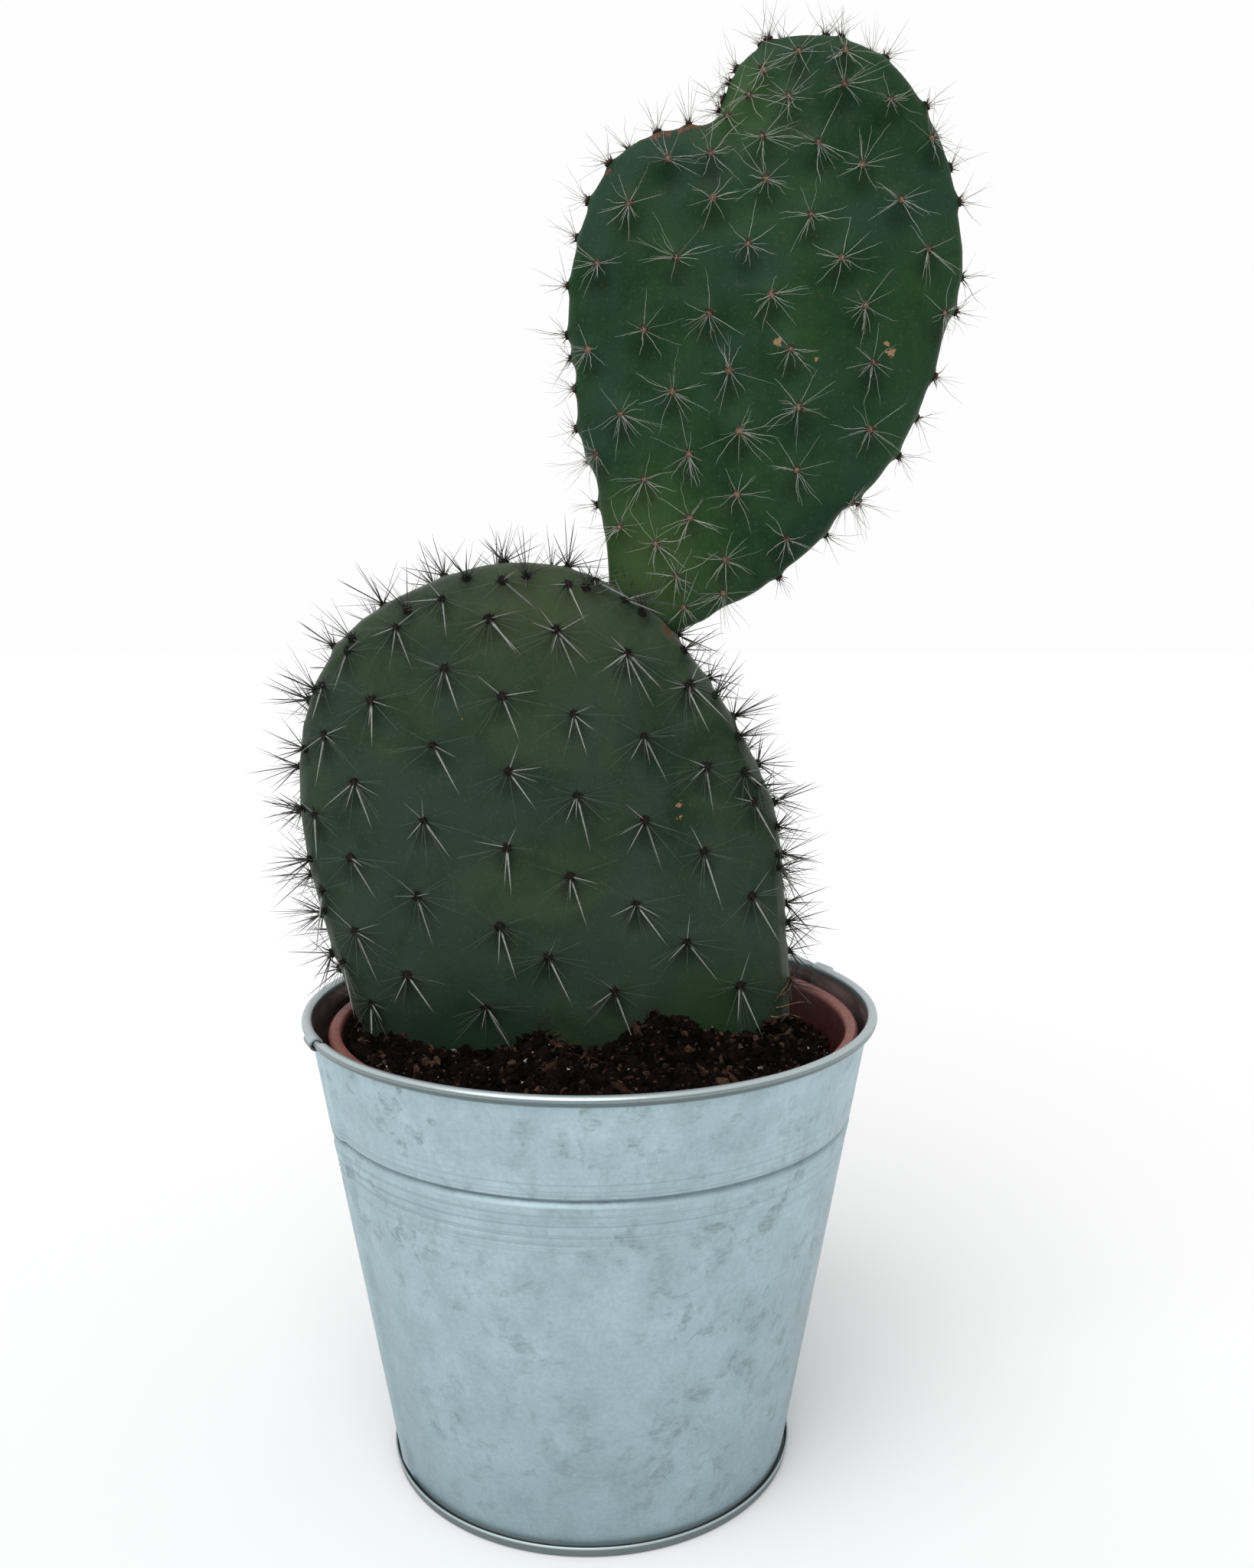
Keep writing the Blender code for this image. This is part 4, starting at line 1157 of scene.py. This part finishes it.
def broken_lump(seed, rough, sides, splits=2):
    """A small angular lump: a ball of a few dozen faces, dented and drawn out unevenly."""
    bpy.ops.object.select_all(action="DESELECT")
    bpy.ops.mesh.primitive_ico_sphere_add(subdivisions=splits, radius=1)
    lump = bpy.context.object
    for vertex in lump.data.vertices:
        dent = noise.noise(vertex.co * 1.1 + Vector((seed, 0, 0)))
        dent += 0.6 * noise.noise(vertex.co * 2.6 + Vector((0, seed, 0)))
        vertex.co *= 1 + rough * dent
        vertex.co = Vector(vertex.co[k] * sides[k] for k in range(3))
    mesh = lump.data
    bpy.data.objects.remove(lump)
    return mesh


CRUMBS = [
    broken_lump(3, 0.9, (1.0, 0.8, 0.7)), broken_lump(7, 1.0, (1.2, 0.7, 0.6)),
    broken_lump(11, 0.8, (0.9, 1.0, 0.8)), broken_lump(19, 1.1, (1.4, 0.6, 0.55)),
]
CRUMBLETS = [
    broken_lump(5, 1.0, (1.0, 0.8, 0.8), 1), broken_lump(13, 1.1, (1.5, 0.7, 0.6), 1),
    broken_lump(29, 1.0, (1.1, 1.0, 0.6), 1),
]
CHIPS = [grown(5, [(0.7, -1.0, 0), (1.0, -0.3, 0.2), (0.95, 0.4, 0.3), (0.5, 1.0, 0.0)])]
CRUMB_SIZE, CRUMB_FLAT = (0.0005, 0.0014), (0.6, 1.2)
SOIL_REACH = 0.0615
soil_skin = surface_of(soil)
strew = random.Random(23)


def on_soil():
    """A point anywhere on the soil's top, clear of the cactus."""
    while True:
        turn, out = strew.uniform(0, math.tau), SOIL_REACH * math.sqrt(strew.random())
        start = Vector((pot_axis.x + out * math.sin(turn), out * math.cos(turn), pot_high.z + 0.03))
        spot, _, _, _ = soil_skin.ray_cast(start, Vector((0, 0, -1)))
        if spot is not None and lower_skin.find_nearest(spot)[3] > 0.0004:
            return spot


def tumbled(spot, shapes, size, flat):
    """One lump lying any way up, sunk a little into what it lies on."""
    big = strew.uniform(*size) * strew.choice((0.5, 0.7, 0.9, 1.0, 1.5))
    roll = strew.uniform(0, math.tau)
    turn = Matrix.Rotation(roll, 4, Vector((strew.gauss(0, 1), strew.gauss(0, 1), 0.3)))
    sides = Matrix.Diagonal((big, big * strew.uniform(0.7, 1.3), big * strew.uniform(*flat), 1))
    return strew.choice(shapes), Matrix.Translation(spot + Vector((0, 0, big * 0.15))) @ turn @ sides


def scattered(shapes, size, flat, count):
    return [tumbled(on_soil(), shapes, size, flat) for _ in range(count)]


def litter_tone():
    """Colour of crumbs, grains, chips or twigs: most of them Dark, a few Light, each one mottled."""
    inputs = {"colour": ["Dark", "Light"], "value": ["Light From"]}
    tree, given, out = new_group("litter_tone", inputs, {"colour": ["Color"], "place": ["Relief"]})
    grains = noise_of(tree, object_place(tree), 1300.0, 4.0, 0.7)
    lighter = spread_over(tree, kept_value(tree, "shade"), given["Light From"], 1.0)
    tone = mix(tree, lighter, given["Dark"], given["Light"])
    tone = tinted(tree, tone, greys(tree, grains, (0.35, 0.35), (0.65, 1.3)))
    tree.links.new(tone, out.inputs["Color"])
    tree.links.new(bump_of(tree, grains, 0.0004, 0.8), out.inputs["Relief"])
    return tree


LITTER_TONE = litter_tone()


def litter(copies, name, finish_name, dark, light, light_from, smooth=True):
    """One piece of loose litter on the soil, with its finish."""
    material, tree, shader, _ = new_finish(finish_name, 0.95, Specular_IOR_Level=0.08)
    tone = apply_group(tree, LITTER_TONE, **{"Dark": dark, "Light": light, "Light From": light_from})
    tree.links.new(tone["Color"], shader.inputs["Base Color"])
    tree.links.new(tone["Relief"], shader.inputs["Normal"])
    finish_piece(gathered(copies, strew, smooth), name, material)


crumbs = scattered(CRUMBS, CRUMB_SIZE, CRUMB_FLAT, 620)
crumbs += scattered(CRUMBLETS, (0.0003, 0.0007), CRUMB_FLAT, 3600)
for across, up, wide, count in HEAPS:
    for _ in range(count // 2):
        x = axis.x + across + strew.gauss(0, wide)
        fall = math.exp(-(((x - axis.x - across) / wide) ** 2) / 3)
        height = soil_level + 0.0005 + (up + 0.0012) * strew.random() * fall
        spot, normal, _, _ = lower_skin.ray_cast(Vector((x, -0.2, height)), Vector((0, 1, 0)))
        if spot is not None:
            crumbs.append(tumbled(spot + normal * 0.0005, CRUMBS, CRUMB_SIZE, CRUMB_FLAT))
dark, light = (0.0036, 0.0018, 0.0014), (0.085, 0.046, 0.031)
litter(crumbs, "soil_crumbs", "peat_crumbs", dark, light, 0.46, False)
grains = scattered(CRUMBS, (0.00022, 0.00050), (0.7, 1.1), 110)
litter(grains, "perlite_grains", "perlite", (0.16, 0.15, 0.13), (0.48, 0.46, 0.43), 0.2, False)
chips = scattered(CHIPS, (0.0004, 0.0008), (1.5, 4.0), 90)
litter(chips, "bark_chips", "bark", (0.008, 0.004, 0.003), (0.052, 0.026, 0.014), 0.4)

# Twigs and rootlets. Thin dry brown strands that lie on the compost and lean against the cactus, with
# a few straw-coloured ones at its right edge.


def strand(across, up, turn, length, width):
    """A strand that lies on the old pad's face, from a point on it and in the given direction."""
    start = Vector((axis.x + across, -0.2, soil_level + up))
    spot, normal, _, _ = lower_skin.ray_cast(start, Vector((0, 1, 0)))
    seat = frame_at(spot + normal * 0.0006, normal)
    return strew.choice(HAIRS), placed(seat, turn, 82, length, width, strew.uniform(0, 6))


twigs = []
for _ in range(46):
    seat = Matrix.Translation(on_soil() - Vector((0, 0, 0.0003)))
    width = strew.uniform(0.00008, 0.00020)
    shape = strew.choice(HAIRS)
    turn, lean, length = strew.uniform(0, 360), strew.uniform(62, 92), strew.uniform(0.004, 0.012)
    twigs.append((shape, placed(seat, turn, lean, length, width, 0)))
twigs += [
    strand(*place)
    for place in (
        (-0.0180, -0.0005, 46, 0.0135, 0.00034), (-0.0125, 0.0030, 78, 0.0085, 0.00028),
        (-0.0100, 0.0040, 20, 0.0060, 0.00025), (-0.0085, 0.0035, -8, 0.0075, 0.00022),
        (-0.0060, 0.0020, 35, 0.0055, 0.00020), (0.0150, 0.0070, 100, 0.0050, 0.00028),
        (0.0190, 0.0060, 70, 0.0045, 0.00022), (-0.0560, 0.0050, 60, 0.0050, 0.00025),
    )
]
litter(twigs, "twigs", "twig_bark", (0.010, 0.005, 0.003), (0.080, 0.046, 0.026), 0.3)
straws = [
    strand(*place)
    for place in (
        (0.0455, 0.0095, 4, 0.0095, 0.00020), (0.0450, 0.0110, 42, 0.0080, 0.00016),
        (0.0460, 0.0120, 64, 0.0070, 0.00016), (0.0440, 0.0075, -6, 0.0090, 0.00018),
        (0.0455, 0.0060, 12, 0.0065, 0.00014),
    )
]
litter(straws, "straws", "dry_straw", (0.10, 0.055, 0.028), (0.30, 0.20, 0.11), 0.1)

# Roots. A tough woody clump under the soil, kept as the CAD has it, with a fibrous brown bark.

material, tree, shader, where = new_finish("root_bark", 0.85)
strands = noise_of(tree, stretched(tree, where, (900.0, 900.0, 120.0)), 1.0, 4.0)
tone = ramp(tree, strands, (0.3, (0.09, 0.05, 0.03)), (0.7, (0.24, 0.15, 0.09)))
tree.links.new(tone, shader.inputs["Base Color"])
tree.links.new(bump_of(tree, strands, 0.0006, 0.6), shader.inputs["Normal"])
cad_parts["roots"].data.materials.clear()
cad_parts["roots"].data.materials.append(material)
